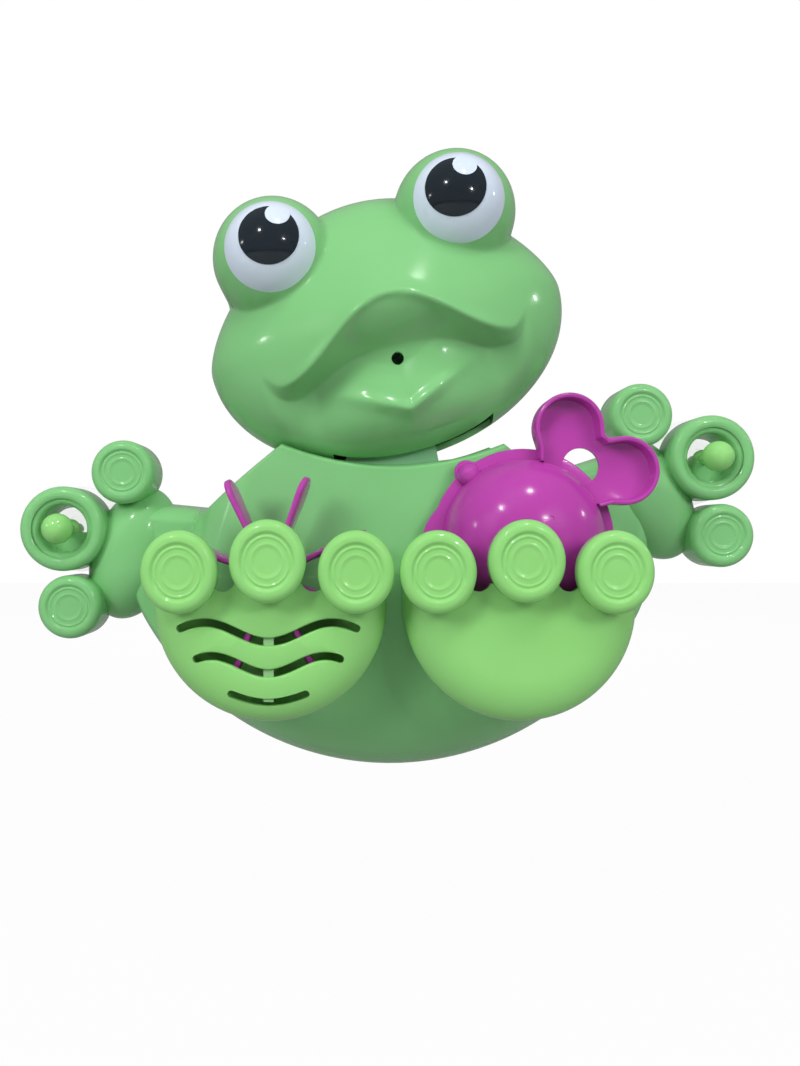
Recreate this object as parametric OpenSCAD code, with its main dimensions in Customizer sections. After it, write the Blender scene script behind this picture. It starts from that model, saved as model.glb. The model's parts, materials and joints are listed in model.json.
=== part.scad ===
// Frog bath toy that hangs on a wall by two suction cups: a rocking head, a water wheel
// in one foot and a lift-out fish scoop in the other. Millimetres, +Z up, front towards -Y.
// The origin lies on the wall, behind the middle of the belly.

/* [Belly] */
// Radius of the belly's lower edge
belly_r = 126; // [120:1:130]
// Height of that arc's centre above the origin
belly_arc_h = 21; // [18:1:24]
// Depth of the belly's front from the wall
belly_front = 51.5; // [49:0.5:52]
// Distance of the belly's open back from the wall
belly_back = 8; // [7:0.5:9]
// Half the width of the collar, between its two corners
collar_half = 46; // [44:1:52]
// Height of the collar at its middle
collar_h = 30.5; // [27:0.5:31]
// Rise of the collar from its middle to its corners
collar_rise = 9; // [7:0.5:11]
// Wall of all moulded shells
wall = 2.5; // [2:0.1:3]

/* [Arms] */
// Front of the arms from the wall
arm_front = 24; // [22:0.5:26]
// Raise of the arm on the left of the picture, in degrees
arm_tilt_left = 5.5; // [4:0.5:8]
// Raise of the arm on the right of the picture, in degrees
arm_tilt_right = 18; // [16:0.5:19]
// Height where the two arms' upper edges would cross
arm_cross_h = 3.7; // [3:0.1:5]

/* [Hands] */
// Distance of the ring's middle past the belly's arc, along the arm
ring_past = 17; // [15:0.5:19]
// Outer radius of the ring
ring_r = 18.6; // [17.5:0.1:19.5]
// Radius of the hole in the ring
ring_hole_r = 9.8; // [9:0.1:10.5]
// Radius of a finger's disc
finger_r = 13.9; // [13:0.1:14.5]
// Front of the fingers from the wall
finger_front = 30; // [28:0.5:32]
// Radius of the ball knob
ball_r = 7; // [6:0.1:7.4]

/* [Suction cups] */
// Radius of the cup's rim
cup_r = 20; // [18:0.5:22]
// Height of the cup, from the wall to its neck
cup_h = 9; // [8.5:0.1:9.5]

/* [Feet] */
// Distance of a foot's middle from the middle of the body
foot_out = 48.3; // [47.8:0.1:49.5]
// Radius of the foot's round lower edge
foot_r = 45; // [44.2:0.1:45.4]
// Front of the foot's wall from the wall of the room
foot_front = 80; // [79.5:0.1:82]
// Radius of a toe
toe_r = 14.6; // [14:0.1:15]
// Front of the toes from the wall
toe_front = 91; // [90:0.5:92]

/* [Water wheel] */
// Radius at the tips of the paddles
wheel_r = 41; // [38:0.5:41.2]
// Width of a paddle along the axle
paddle_w = 15; // [12:0.5:15.5]
// Thickness of a paddle
paddle_t = 2.2; // [1.8:0.1:3]
// Number of paddles
paddles = 8; // [6:1:10]
// Radius of the axle
axle_r = 2; // [1.8:0.1:2.4]

/* [Scoop] */
// Radius of the bowl
bowl_r = 33; // [31:0.5:34]
// Depth of the bowl
bowl_d = 26; // [23:0.5:26.2]
// Wall of the scoop
scoop_wall = 2; // [1.6:0.1:2.4]

/* [Head] */
// Half the width of the head
head_half = 76.5; // [74:0.5:79]
// Height of the head's widest level above its pivot
head_mid = 10; // [8:0.5:12]
// Height of the crown above the widest level
head_up = 57; // [54:0.5:59]
// Drop of the chin below the widest level
head_down = 54; // [52:0.5:55]
// Rest tilt of the head, and its swing to either side, in degrees
head_tilt = 14.5; // [12:0.5:15]
// Height of the pivot above the origin
pivot_h = 75; // [74:0.5:78]
// Plane where the head's two shells meet, from the wall
head_split = 34; // [33:0.5:35]
// Front of the muzzle's base form from the wall
head_front = 74; // [71:0.5:76]
// Distance of an eye from the head's middle
eye_out = 38; // [36:0.5:39]
// Height of an eye above the pivot
eye_h = 47.5; // [46:0.5:49]
// Radius of the green bulge round an eye
bulge_r = 24.8; // [23.5:0.1:25]
// Radius of the white dome where it leaves the bulge
eye_r = 18; // [17:0.1:18.5]
// Radius of a pupil
pupil_r = 11.4; // [10:0.1:12]
// Radius of the hole in the mouth
mouth_hole_r = 2.5; // [2:0.1:3]

/* [Hidden] */
$fn = 64;
// Overrun of a cut past the face that it leaves
over = 1;
// Gap between two pieces that seat together
seat = 0.15;
// Radial clearance of a turning fit
run = 0.08;
// Radial clearance of a pin that is held fast
snug = 0.02;

// Colours of the mouldings
leaf = "#72c47a";
lime = "#8ccf6a";
pink = "#c455a8";

// A local frame in which x runs to the right, y up and z out from the wall
module out_of_wall() { rotate([90, 0, 0]) children(); }

// The same frame, turned and lifted with the head
module head_frame() { translate([0, 0, pivot_h]) rotate([0, -head_tilt, 0]) out_of_wall() children(); }

// An arm's frame: side is -1 on the left of the picture and 1 on the right
function raise(side) = side < 0 ? arm_tilt_left : arm_tilt_right;
module arm_plane(side) {
    translate([0, arm_cross_h, 0]) rotate([0, 0, side * raise(side)])
        mirror([side < 0 ? 1 : 0, 0, 0]) children();
}
module arm_frame(side) { out_of_wall() arm_plane(side) children(); }

// Quarter-circle rise from 0 to 1 as q goes from 0 to 1, flat beyond
function ease(q) = let (c = min(max(q, 0), 1)) sqrt(max(1 - (1 - c) * (1 - c), 0));
// Even steps that crowd towards both ends
function crowd(t) = (1 - cos(180 * t)) / 2;
// Two triangles of the cell between two rows of points that are m long
function cell(a, b, c, d) = [[a, b, c], [a, c, d]];

// The point a further distance r out from the middle m
function outward(p, m, r) = m + (p - m) * (1 + r / norm(p - m));
// Even steps that crowd a little towards both ends, from -1 to 1
function spread(t) = (t + sin(90 * t)) / 2;

// A closed shell between an outer and an inner patch, whose edges are joined all round
module patch_shell(outer, inner) {
    n = len(outer) - 1;
    m = len(outer[0]) - 1;
    row = m + 1;
    base = (n + 1) * row;
    points = concat([for (r = outer) each r], [for (r = inner) each r]);
    skins = [for (i = [0:n - 1]) for (j = [0:m - 1])
        let (a = i * row + j, b = a + row, c = b + 1, d = a + 1)
            each concat(cell(a, b, c, d), cell(base + a, base + d, base + c, base + b))];
    ends = [for (j = [0:m - 1]) let (a = j, b = j + 1, c = n * row + j, d = c + 1)
        each concat(cell(a, b, base + b, base + a), cell(d, c, base + c, base + d))];
    sides = [for (i = [0:n - 1]) let (a = i * row, b = a + row, c = a + m, d = b + m)
        each concat(cell(b, a, base + a, base + b), cell(c, d, base + d, base + c))];
    polyhedron(points, [for (f = concat(skins, ends, sides)) [f[0], f[2], f[1]]], convexity = 6);
}

// Belly

// Round of the collar's edge, of the lower edge and of the belly's sides
collar_round = 4;
keel_round = 60;
flank_round = 26;
arm_round = 9;
// Half width of the belly's dome at the arms, and its growth towards the keel
flank_half = 90;
flank_slope = 0.32;
// Half the span where the palms begin, and where the arms end under them, short of the belly's arc
palm_past = 26;
end_past = 8;
arm_half = belly_r - palm_past;
arm_reach = belly_r - end_past;
ring_out = belly_r + ring_past;
// Slope of the shoulders, beyond the collar's corners
shoulder_slope = 0.82;
// Steps of the belly's surface across and up
belly_steps = 46;
belly_rows = 15;

function keel(x, inset) = belly_arc_h - sqrt(pow(belly_r - inset, 2) - x * x);
function collar(x) = collar_h + collar_rise * pow(x / collar_half, 2);
function shoulder(x) = collar_h + collar_rise - shoulder_slope * (abs(x) - collar_half);
function arm_top(x) = arm_cross_h + abs(x) * tan(raise(sign(x)));
function crown(x, inset) = -inset
    + (abs(x) < collar_half ? collar(x) : max(shoulder(x), arm_top(x)));
function flank(x, z) = flank_half - flank_slope * z - abs(x);
function belly_depth(x, z, inset) = let (
        low = z - keel(x, inset), high = crown(x, inset) - z,
        end = arm_reach - inset - abs(x),
        dome = ease(low / keel_round) * ease(high / collar_round) * ease((flank(x, z) - inset) / flank_round),
        arm = ease(low / arm_round) * ease(high / arm_round))
    belly_back + ease(end / arm_round) * max(
        (belly_front - belly_back - inset) * dome, (arm_front - belly_back - inset) * arm);
function belly_patch(inset) = [for (i = [0:belly_steps])
    let (x = (arm_reach - inset) * spread(2 * i / belly_steps - 1)) [for (j = [0:belly_rows])
        let (t = crowd(j / belly_rows), z = keel(x, inset) * (1 - t) + crown(x, inset) * t)
            [x, z, j == 0 || j == belly_rows || i == 0 || i == belly_steps ? belly_back
                : max(belly_depth(x, z, inset), belly_back + seat)]]];

// Middle of a foot's round, and the pad on which the foot sits
foot_mid_h = -28;
pad_inset = 3;
pad_back = 38;
// Places of the screws: along the belly's edge, and in each foot
body_screw_in = 18;
body_screw_r = belly_r - body_screw_in;
body_screw_angles = [235, 270, 305];
body_screw_up_out = 62;
body_screw_up_h = 14;
foot_screw_out = 16;
foot_screw_share = 0.745;
foot_screw_h = foot_mid_h - foot_r * foot_screw_share;
screw_r = 1.4;
screw_head_r = 2.8;
screw_head_t = 1.8;
boss_r = 3.6;
// Height of the axle's and the wheel's middle
axle_h = -16.7;
axle_boss_r = 5;
// Neck plate
link_back = 38;
link_t = 4;
link_front = link_back + link_t;
link_low_h = -8;
link_low_half = 22;
link_waist_half = 19.6;
link_top_r = 10.5;
link_screw_h = 2;
link_screw_out = 13;

module foot_outline(inset) {
    intersection() {
        translate([0, foot_mid_h]) circle(r = foot_r - inset);
        translate([-foot_r, foot_mid_h - foot_r]) square([2 * foot_r, foot_r]);
    }
    translate([-(foot_r - inset), foot_mid_h])
        square([2 * (foot_r - inset), foot_top_h - foot_mid_h - inset]);
}
// Height where the sides of a foot end, under the outer toes
foot_top_h = -15;

body_screw_spots = concat(
    [for (a = body_screw_angles) [body_screw_r * cos(a), belly_arc_h + body_screw_r * sin(a)]],
    [for (s = [-1, 1]) [s * body_screw_up_out, body_screw_up_h]]);
module body_screw_places() {
    for (p = body_screw_spots) translate([p[0], p[1], 0]) children();
}
module foot_screw_places(side) {
    for (s = [-1, 1]) translate([side * foot_out + s * foot_screw_out, foot_screw_h, 0]) children();
}
module link_screw_places() {
    for (s = [-1, 1]) translate([s * link_screw_out, link_screw_h, 0]) children();
}

module belly_shell() {
    color(leaf) out_of_wall() difference() {
        union() {
            patch_shell(belly_patch(0), belly_patch(wall));
            for (s = [-1, 1]) translate([s * foot_out, 0, pad_back])
                linear_extrude(belly_front + seat - pad_back) foot_outline(pad_inset);
            for (p = body_screw_spots) let (q = outward(p, [0, belly_arc_h], boss_r))
                translate([p[0], p[1], belly_back + seat])
                cylinder(r = boss_r, h = belly_depth(q[0], q[1], 0) - belly_back - wall / 2);
            translate([-foot_out, axle_h, pad_back])
                cylinder(r = axle_boss_r, h = belly_front - seat - pad_back);
            link_screw_places() translate([0, 0, link_front + seat])
                cylinder(r = boss_r, h = belly_front - wall / 2 - link_front);
        }
        translate([-link_waist_half - over, collar_h - collar_round - link_slot_drop, link_back - seat])
            cube([2 * (link_waist_half + over), collar_round + 2 * link_slot_drop, link_t + 2 * seat]);
        translate([-foot_out, axle_h, pad_back - over]) cylinder(r = axle_r + snug, h = belly_front);
        for (s = [-1, 1]) foot_screw_places(s) {
            translate([0, 0, pad_back - over]) cylinder(r = screw_r + seat, h = belly_front);
            translate([0, 0, belly_back]) cylinder(r = screw_head_r + seat, h = pad_back - belly_back);
        }
        head_room();
        body_screw_places() translate([0, 0, belly_back]) cylinder(r = screw_r, h = screw_bite + over);
        link_screw_places() translate([0, 0, link_back]) cylinder(r = screw_r, h = screw_bite);
        for (s = [-1, 1]) arm_plane(s)
            translate([0, 0, belly_back - over]) linear_extrude(belly_front) palm_cut();
    }
}
// Room behind the collar's lip, in which the head's lower edge swings: at each level the furthest
// reach of the head's oval, over all tilts, in every direction below the pivot
head_back_d = 9;
room_gap = 0.5;
room_step = 0.2;
room_mid_d = 10;
room_mid_in = 1.7;
room_front_d = 14;
room_levels = [[head_back_d, 0], [head_split + room_mid_d, room_mid_in], [head_split + room_front_d, 0]];
function room_reach(a, inset) = let (w = head_half - inset + room_gap, b = head_down - inset + room_gap,
        p = pow(cos(a) / w, 2) + pow(sin(a) / b, 2), q = -2 * head_mid * sin(a) / (b * b),
        r = pow(head_mid / b, 2) - 1)
    (sqrt(q * q - 4 * p * r) - q) / (2 * p);
function room_swept(a, inset) = max([for (t = [-1:room_step:1]) room_reach(a - head_tilt * t, inset)]);
module head_room() {
    for (i = [0:len(room_levels) - 2]) translate([0, pivot_h, room_levels[i][0]])
        linear_extrude(room_levels[i + 1][0] - room_levels[i][0])
            polygon([for (a = [205:3:334]) room_swept(a, room_levels[i][1]) * [cos(a), sin(a)]]);
}
// How far a screw bites into its boss
screw_bite = 9;
// How far the slot for the neck plate reaches below the collar's round
link_slot_drop = 6;

// Back cover of the belly
cover_gap = 0.3;
cover_t = 2.5;
cover_steps = 40;
module cover_outline(inset) {
    half = arm_reach - inset;
    polygon(concat(
        [for (i = [0:cover_steps]) let (x = half * (2 * i / cover_steps - 1)) [x, keel(x, inset)]],
        [for (i = [0:cover_steps]) let (x = half * (1 - 2 * i / cover_steps)) [x, crown(x, inset)]]));
}
module back_cover() {
    color(leaf) out_of_wall() difference() {
        translate([0, 0, belly_back - cover_t]) linear_extrude(cover_t) cover_outline(cover_gap);
        body_screw_places() translate([0, 0, belly_back - cover_t - over]) {
            cylinder(r = screw_r + seat, h = cover_t + 2 * over);
            cylinder(r = screw_head_r + seat, h = screw_head_t + over);
        }
        for (s = [-1, 1]) hand_screw_place(s) translate([0, 0, belly_back - cover_t - over])
            cylinder(r = screw_r + seat, h = cover_t + 2 * over);
        for (s = [-1, 1]) hand_screw_place(s) translate([0, 0, belly_back - cover_t - over])
            cylinder(r = screw_head_r + seat, h = screw_head_t + over);
    }
}

// A screw with its head's face at z = 0, driven towards +z
module screw(length) {
    color("silver") difference() {
        union() {
            cylinder(r = screw_head_r, h = screw_head_t);
            cylinder(r = screw_r, h = length);
        }
        for (a = [0, 90]) rotate([0, 0, a]) translate([-recess_l / 2, -recess_w / 2, -over])
            cube([recess_l, recess_w, over + recess_d]);
    }
}
recess_l = 3.2;
recess_w = 0.8;
recess_d = 0.9;
module body_screws() {
    out_of_wall() {
        body_screw_places() translate([0, 0, belly_back - cover_t]) screw(cover_t + screw_bite - over);
        link_screw_places()
            translate([0, 0, link_back - screw_head_t]) screw(screw_head_t + screw_bite - over);
    }
}
module foot_screws() {
    out_of_wall() for (s = [-1, 1]) foot_screw_places(s)
        translate([0, 0, pad_back - screw_head_t])
            screw(foot_back - pad_back + screw_head_t + foot_boss_h - over);
}

// Neck plate, which carries the head's pivot
pin_r = 3;
link_boss_back = 33;
link_boss_front = 48;
crank_r = 22;
crank_half = 3.5;
crank_low_share = 0.3;
module neck_link() {
    color([0.75, 0.9, 0.8, 0.7]) out_of_wall() difference() {
        union() {
            translate([0, 0, link_back]) linear_extrude(link_t) {
                polygon([[-link_low_half, link_low_h], [link_low_half, link_low_h],
                    [link_waist_half, collar_h],
                    [link_top_r, pivot_h], [-link_top_r, pivot_h], [-link_waist_half, collar_h]]);
                translate([0, pivot_h]) circle(r = link_top_r);
                translate([-crank_half, pivot_h]) square([2 * crank_half, crank_r]);
                translate([0, pivot_h + crank_r]) circle(r = crank_half);
            }
            translate([0, pivot_h, link_boss_back])
                cylinder(r = link_top_r * (1 - crank_low_share), h = link_boss_front - link_boss_back);
        }
        translate([0, pivot_h, link_boss_back - over])
            cylinder(r = pin_r + run, h = link_boss_front - link_boss_back + 2 * over);
        link_screw_places()
            translate([0, 0, link_back - over]) cylinder(r = screw_r + seat, h = link_t + 2 * over);
    }
}

// Hands

ring_drop = 15.6;
hand_back = 9;
// Places of the two finger discs and the palm in the arm's frame, from the ring's middle
top_finger_in = 24;
top_finger_up = 27.3;
low_finger_in = 6.5;
low_finger_down = 33.8;
palm_in = 28;
palm_drop = 8.4;
palm_half = 19;
palm_up = 31;
palm_lean = 12;
palm_front = 27;
palm_rings = 7;
palm_steps = 32;
web_t = 5;
web_level = -1.5;
neck_r = 2.6;
ball_out = 34;
stem_r_share = 0.8;
pad_low = 12;
ring_back = 11;
groove_d = 1.1;
tongue_l = 12;
tongue_half = 8;
tongue_t = 5;

// Round disc with a rolled rim, a ridge and a shallow middle, its face at z = front
module grooved_disc(r, back, front) {
    lip = (front - back) * 0.3;
    rotate_extrude() polygon(concat(
        [[0, back], [r * 0.94, back], [r, back + lip]],
        [for (a = [0:15:90]) [r - lip + lip * cos(a), front - lip + lip * sin(a)]],
        [[r * 0.72, front], [r * 0.66, front - groove_d], [r * 0.58, front - groove_d * 0.3],
            [r * 0.5, front - groove_d], [0, front - groove_d * 0.8]]));
}

// The ring of the middle finger: two rolled ridges round the hole
module finger_ring() {
    mid = (ring_hole_r + ring_r) / 2;
    fat = (ring_r - mid);
    rotate_extrude() polygon(concat(
        [[ring_hole_r, ring_back], [ring_r - fat / 3, ring_back], [ring_r, ring_back + fat / 2]],
        [for (a = [0:15:150])
            [ring_r - fat / 2 + fat / 2 * cos(a), finger_front - fat / 2 + fat / 2 * sin(a)]],
        [for (a = [30:15:180])
            [mid - fat / 3 + fat / 3 * cos(a), finger_front - fat * 0.7 + fat / 3 * sin(a)]],
        [[ring_hole_r, finger_front - fat]]));
}

// Palm as a tall oval dome that leans outwards at its top
function palm_ring(i) = let (t = i / palm_rings, s = cos(90 * t), d = palm_front - hand_back)
    [for (j = [0:palm_steps - 1]) let (a = 360 * j / palm_steps,
            x = palm_half * pow(s, 0.8) * cos(a), y = palm_up * pow(s, 0.8) * sin(a))
        [ring_out - palm_in + x * cos(palm_lean) - y * sin(palm_lean),
            -ring_drop - palm_drop + x * sin(palm_lean) + y * cos(palm_lean), hand_back + d * sin(90 * t)]];
// What the palm takes away from the arm that it sits on
module palm_cut() {
    grow = 1 + seat * 2 / palm_half;
    polygon([for (p = palm_ring(0)) [(p[0] - ring_out + palm_in) * grow + ring_out - palm_in,
        (p[1] + ring_drop + palm_drop) * grow - ring_drop - palm_drop]]);
    translate([ring_out - top_finger_in, top_finger_up - ring_drop]) circle(r = finger_r + seat);
    translate([ring_out - low_finger_in, -low_finger_down - ring_drop]) circle(r = finger_r + seat);
}
module palm() {
    rings = [for (i = [0:palm_rings - 1]) palm_ring(i)];
    m = palm_steps;
    top = palm_rings * m;
    points = concat([for (r = rings) each r], [[ring_out - palm_in, -ring_drop - palm_drop, palm_front],
        [ring_out - palm_in, -ring_drop - palm_drop, hand_back]]);
    skin = [for (i = [0:palm_rings - 2]) for (j = [0:m - 1]) let (e = (j + 1) % m)
        each cell(i * m + j, i * m + e, (i + 1) * m + e, (i + 1) * m + j)];
    caps = [for (j = [0:m - 1]) let (e = (j + 1) % m)
        each [[top - m + j, top - m + e, top], [e, j, top + 1]]];
    polyhedron(points, [for (f = concat(skin, caps)) [f[0], f[2], f[1]]], convexity = 4);
}

module hand(side) {
    color(leaf) arm_frame(side) difference() {
        union() {
            palm();
            translate([ring_out - top_finger_in, -ring_drop + top_finger_up, 0])
                grooved_disc(finger_r, pad_low, finger_front);
            translate([ring_out - low_finger_in, -ring_drop - low_finger_down, 0])
                grooved_disc(finger_r, pad_low, finger_front);
            translate([ring_out, -ring_drop, 0]) finger_ring();
            translate([ring_out, -ring_drop, 0]) intersection() {
                translate([0, 0, ring_back]) cylinder(r = ring_hole_r + over, h = web_t);
                rotate([0, 0, -side * raise(side)]) translate([-ring_r, -ring_r, 0])
                    cube([2 * ring_r, ring_r + web_level, finger_front]);
            }
            translate([arm_half - tongue_l, -ring_drop - tongue_half, hand_back + wall + seat])
                cube([tongue_l + palm_half, 2 * tongue_half, tongue_t]);
        }
        translate([ring_out, -ring_drop, -over]) cylinder(r = neck_r + seat, h = finger_front);
        translate([arm_half - tongue_l / 2, -ring_drop, hand_back])
            cylinder(r = screw_r, h = tongue_t + wall + over);
    }
}
module left_hand() { hand(-1); }
module right_hand() { hand(1); }
module hand_screw_place(side) {
    arm_plane(side) translate([arm_half - tongue_l / 2, -ring_drop, 0]) children();
}
module hand_screws() {
    out_of_wall() for (s = [-1, 1]) hand_screw_place(s) translate([0, 0, belly_back - cover_t])
        screw(cover_t + wall + tongue_t);
}

// Suction cups and their ball knobs

cup_wall = 2;
cup_neck_r = 5.5;
cup_rim_w = 2.5;
module cup() {
    rotate_extrude() polygon(concat(
        [[cup_r - cup_rim_w, 0], [cup_r, 0], [cup_r, cup_wall / 2]],
        [for (t = [0.1:0.15:0.85]) [cup_r - (cup_r - cup_neck_r) * t,
            cup_wall / 2 + (cup_h - cup_wall) * ease(t)]],
        [[cup_neck_r, cup_h], [cup_neck_r, ring_back - seat], [neck_r + seat, ring_back - seat],
            [neck_r + seat, cup_h - cup_wall * 1.5],
            [0, cup_h - cup_wall * 1.5], [0, cup_h - cup_wall * 2.3]],
        [for (t = [0.7:-0.15:0.1]) [(cup_r - cup_rim_w) * (1 - t), (cup_h - cup_wall * 2.3) * ease(t)]]));
}
module cup_place(side) { arm_frame(side) translate([ring_out, -ring_drop, 0]) children(); }
module left_suction_cup() { color([0.85, 0.92, 0.9, 0.4]) cup_place(-1) cup(); }
module right_suction_cup() { color([0.85, 0.92, 0.9, 0.4]) cup_place(1) cup(); }
module knob() {
    translate([0, 0, cup_h - cup_wall * 1.5 + seat]) cylinder(r = neck_r, h = ball_out - cup_h);
    translate([0, 0, ball_out]) sphere(r = ball_r);
    translate([0, 0, ring_back + web_t + seat]) cylinder(r = neck_r * 1.7, h = wall);
}
module left_cup_knob() { color(leaf) cup_place(-1) knob(); }
module right_cup_knob() { color(leaf) cup_place(1) knob(); }

// Feet

foot_back = belly_front + 2 * seat;
foot_back_top_h = -28;
foot_round = 11;
foot_bevel = 17;
foot_boss_h = 6;
front_top_h = -19;
toe_back = 83;
toe_spread = 32.6;
toe_mid_h = -10.4;
toe_side_h = -14.4;
toe_shift = 0.6;
scallop_r = 4.6;
scallop_out = 17;
scallop_h = -17.5;
slot_w = 2.5;
rib_w = 3.9;
rib_t = 1;
rib_top_share = 0.136;
rib_low_share = 0.905;
drain_w = 5;
drain_out = 10;
drain_t = 3;

// Cross-section of the pocket from its middle to its edge, open to the inside
module pocket_profile(back) {
    front_in = foot_front - wall;
    polygon(concat(
        back ? [[0, foot_back], [foot_r, foot_back]] : [[foot_r - wall, foot_back], [foot_r, foot_back]],
        [for (a = [0:15:90]) [foot_r - foot_bevel + foot_bevel * cos(a),
            foot_front - foot_round + foot_round * sin(a)]],
        [[0, foot_front], [0, front_in]],
        [for (a = [90:-15:0]) [foot_r - foot_bevel + (foot_bevel - wall) * cos(a),
            foot_front - foot_round + (foot_round - wall) * sin(a)]],
        back ? [[foot_r - wall, foot_back + wall * 0.8], [0, foot_back + wall * 0.8]] : []));
}
// A wavy line: a cosine with its low point in the middle, as a band of the given half length
function wave(x, long, rise) = -rise * cos(360 * x / long) / 2;
module wavy_slot(half, long, rise, steps) {
    linear_extrude(toe_front) polygon(concat(
        [for (i = [0:steps]) let (x = half * (2 * i / steps - 1)) [x, wave(x, long, rise) + slot_w / 2]],
        [for (i = [0:steps]) let (x = half * (1 - 2 * i / steps)) [x, wave(x, long, rise) - slot_w / 2]]));
}
module foot(side) {
    translate([side * foot_out, 0, 0]) difference() {
        union() {
            translate([0, foot_mid_h, 0]) rotate([0, 0, 180])
                rotate_extrude(angle = 180) pocket_profile(true);
            for (s = [0, 1]) mirror([s, 0, 0]) translate([0, foot_mid_h, 0])
                rotate([-90, 0, 0]) mirror([0, 1, 0])
                    linear_extrude(foot_top_h - foot_mid_h) pocket_profile(true);
            for (s = [-1, 0, 1])
                translate([s * toe_spread - side * toe_shift, s == 0 ? toe_mid_h : toe_side_h, 0]) {
                grooved_disc(toe_r, toe_back, toe_front);
                intersection() {
                    translate([0, 0, foot_front - wall])
                        cylinder(r = toe_r * stem_r_share, h = toe_back - foot_front + wall + over);
                    translate([-toe_r, -toe_r * 2, 0])
                        cube([2 * toe_r,
                            toe_r * 2 + front_top_h - (s == 0 ? toe_mid_h : toe_side_h), toe_front]);
                }
            }
            for (s = [-1, 1]) translate([s * foot_screw_out, foot_screw_h, foot_back])
                cylinder(r = boss_r, h = foot_boss_h);
        }
        translate([-foot_r + wall, front_top_h, foot_front - foot_round])
            cube([2 * (foot_r - wall), foot_r, toe_back - foot_front + foot_round]);
        translate([-foot_r + wall, foot_back_top_h, foot_back - over])
            cube([2 * (foot_r - wall), foot_r, wall + over]);
        for (s = [-1, 1]) translate([s * scallop_out, scallop_h, foot_front - foot_round])
            cylinder(r = scallop_r, h = toe_back - foot_front + foot_round - seat);
        for (s = [-1, 1]) translate([s * foot_screw_out, foot_screw_h, foot_back - over])
            cylinder(r = screw_r, h = foot_boss_h + over);
        if (side > 0) for (s = [-1, 1])
            translate([s * drain_out - drain_w / 2, foot_mid_h - foot_r - over, foot_back - over])
                cube([drain_w, wall * 2 + over, drain_t + over]);
        if (side < 0) foot_slots();
    }
    if (side < 0) translate([side * foot_out, 0, 0]) {
        translate([-rib_w / 2, foot_mid_h - foot_r * rib_low_share, foot_front - wall - rib_t])
            cube([rib_w, foot_r * (rib_low_share - rib_top_share), rib_t + over / 2]);
        difference() {
            translate([0, axle_h, foot_front - wall])
                cylinder(r = axle_boss_r, h = toe_back - foot_front + wall);
            translate([0, axle_h, foot_front - wall - over])
                cylinder(r = axle_r + snug, h = axle_front - foot_front + wall + over);
        }
    }
}
slot_drop_shares = [0.26, 0.538, 0.81];
slot_half_shares = [0.769, 0.622, 0.317];
slot_wave_shares = [1.109, 0.973, 1.403];
slot_rise_shares = [0.163, 0.149, 0.181];
module foot_slots() {
    for (i = [0:2]) translate([0, foot_mid_h - foot_r * slot_drop_shares[i], foot_front - foot_round])
        wavy_slot(foot_r * slot_half_shares[i], foot_r * slot_wave_shares[i],
            foot_r * slot_rise_shares[i], 20);
}
module left_foot() { color(lime) out_of_wall() foot(-1); }
module right_foot() { color(lime) out_of_wall() foot(1); }

// Water wheel on its axle

axle_back = 42;
axle_front = 82.3;
hub_r = 5.5;
hub_back = belly_front + 2 * seat;
hub_front = 77.2;
paddle_front = 76;
module wheel_axle() {
    color("silver") out_of_wall() translate([-foot_out, axle_h, axle_back])
        cylinder(r = axle_r, h = axle_front - axle_back);
}
paddle_phase = 24.5;
paddle_lean = 6;
paddle_root = 3.2;
module water_wheel() {
    color(pink) out_of_wall() translate([-foot_out, axle_h, 0]) difference() {
        union() {
            translate([0, 0, hub_back]) cylinder(r = hub_r, h = hub_front - hub_back);
            for (i = [0:paddles - 1]) rotate([0, 0, paddle_phase + 360 * i / paddles])
                translate([0, 0, paddle_front - paddle_w / 2]) rotate([-paddle_lean, 0, 0]) paddle();
        }
        translate([0, 0, hub_back - over]) cylinder(r = axle_r + run, h = hub_front - hub_back + 2 * over);
    }
}
// A flat paddle with a round-cornered tip, standing on the hub
module paddle() {
    round_r = paddle_w / 2;
    translate([0, paddle_t / 2, -paddle_w / 2]) rotate([90, 0, 0]) linear_extrude(paddle_t) {
        translate([paddle_root, 0]) square([wheel_r - round_r - paddle_root, paddle_w]);
        translate([wheel_r - round_r, round_r]) circle(r = round_r);
    }
}

// Fish scoop: bowl, rim, fin and tail dish

scoop_back = 54.6;
scoop_out = 52.4;
scoop_h = -2.8;
rim_w = 3.9;
rim_t = 2;
mouth_r = 20;
mouth_out = 21;
mouth_angle = 185;
tail_angle = 52;
tail_near = 28;
tail_neck = 15;
tail_lobe_r = 13.8;
tail_lobe_out = 14;
tail_lobe_at = 46;
tail_notch_at = 52.5;
tail_depth = 9;
tail_hole_r = 7.5;
tail_hole_at = 37.6;
fin_r = 5;
fin_at = 35.6;
fin_angle = 130;
bowl_steps = 9;
function bowl_point(t, inset) = [(bowl_r - inset) * cos(90 * t), (bowl_d - inset) * sin(90 * t)];
module tail_outline(inset) {
    for (s = [-1, 1]) translate([tail_lobe_at, s * tail_lobe_out]) circle(r = tail_lobe_r - inset);
    polygon([[tail_near, inset - tail_neck], [tail_lobe_at, inset - tail_lobe_out - tail_lobe_r],
        [tail_notch_at - inset, 0], [tail_lobe_at, tail_lobe_out + tail_lobe_r - inset],
        [tail_near, tail_neck - inset]]);
}
module scoop_rim() {
    circle(r = bowl_r + rim_w);
    rotate([0, 0, mouth_angle]) translate([mouth_out, 0]) circle(r = mouth_r);
    rotate([0, 0, fin_angle]) translate([fin_at, 0]) circle(r = fin_r);
}
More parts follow.
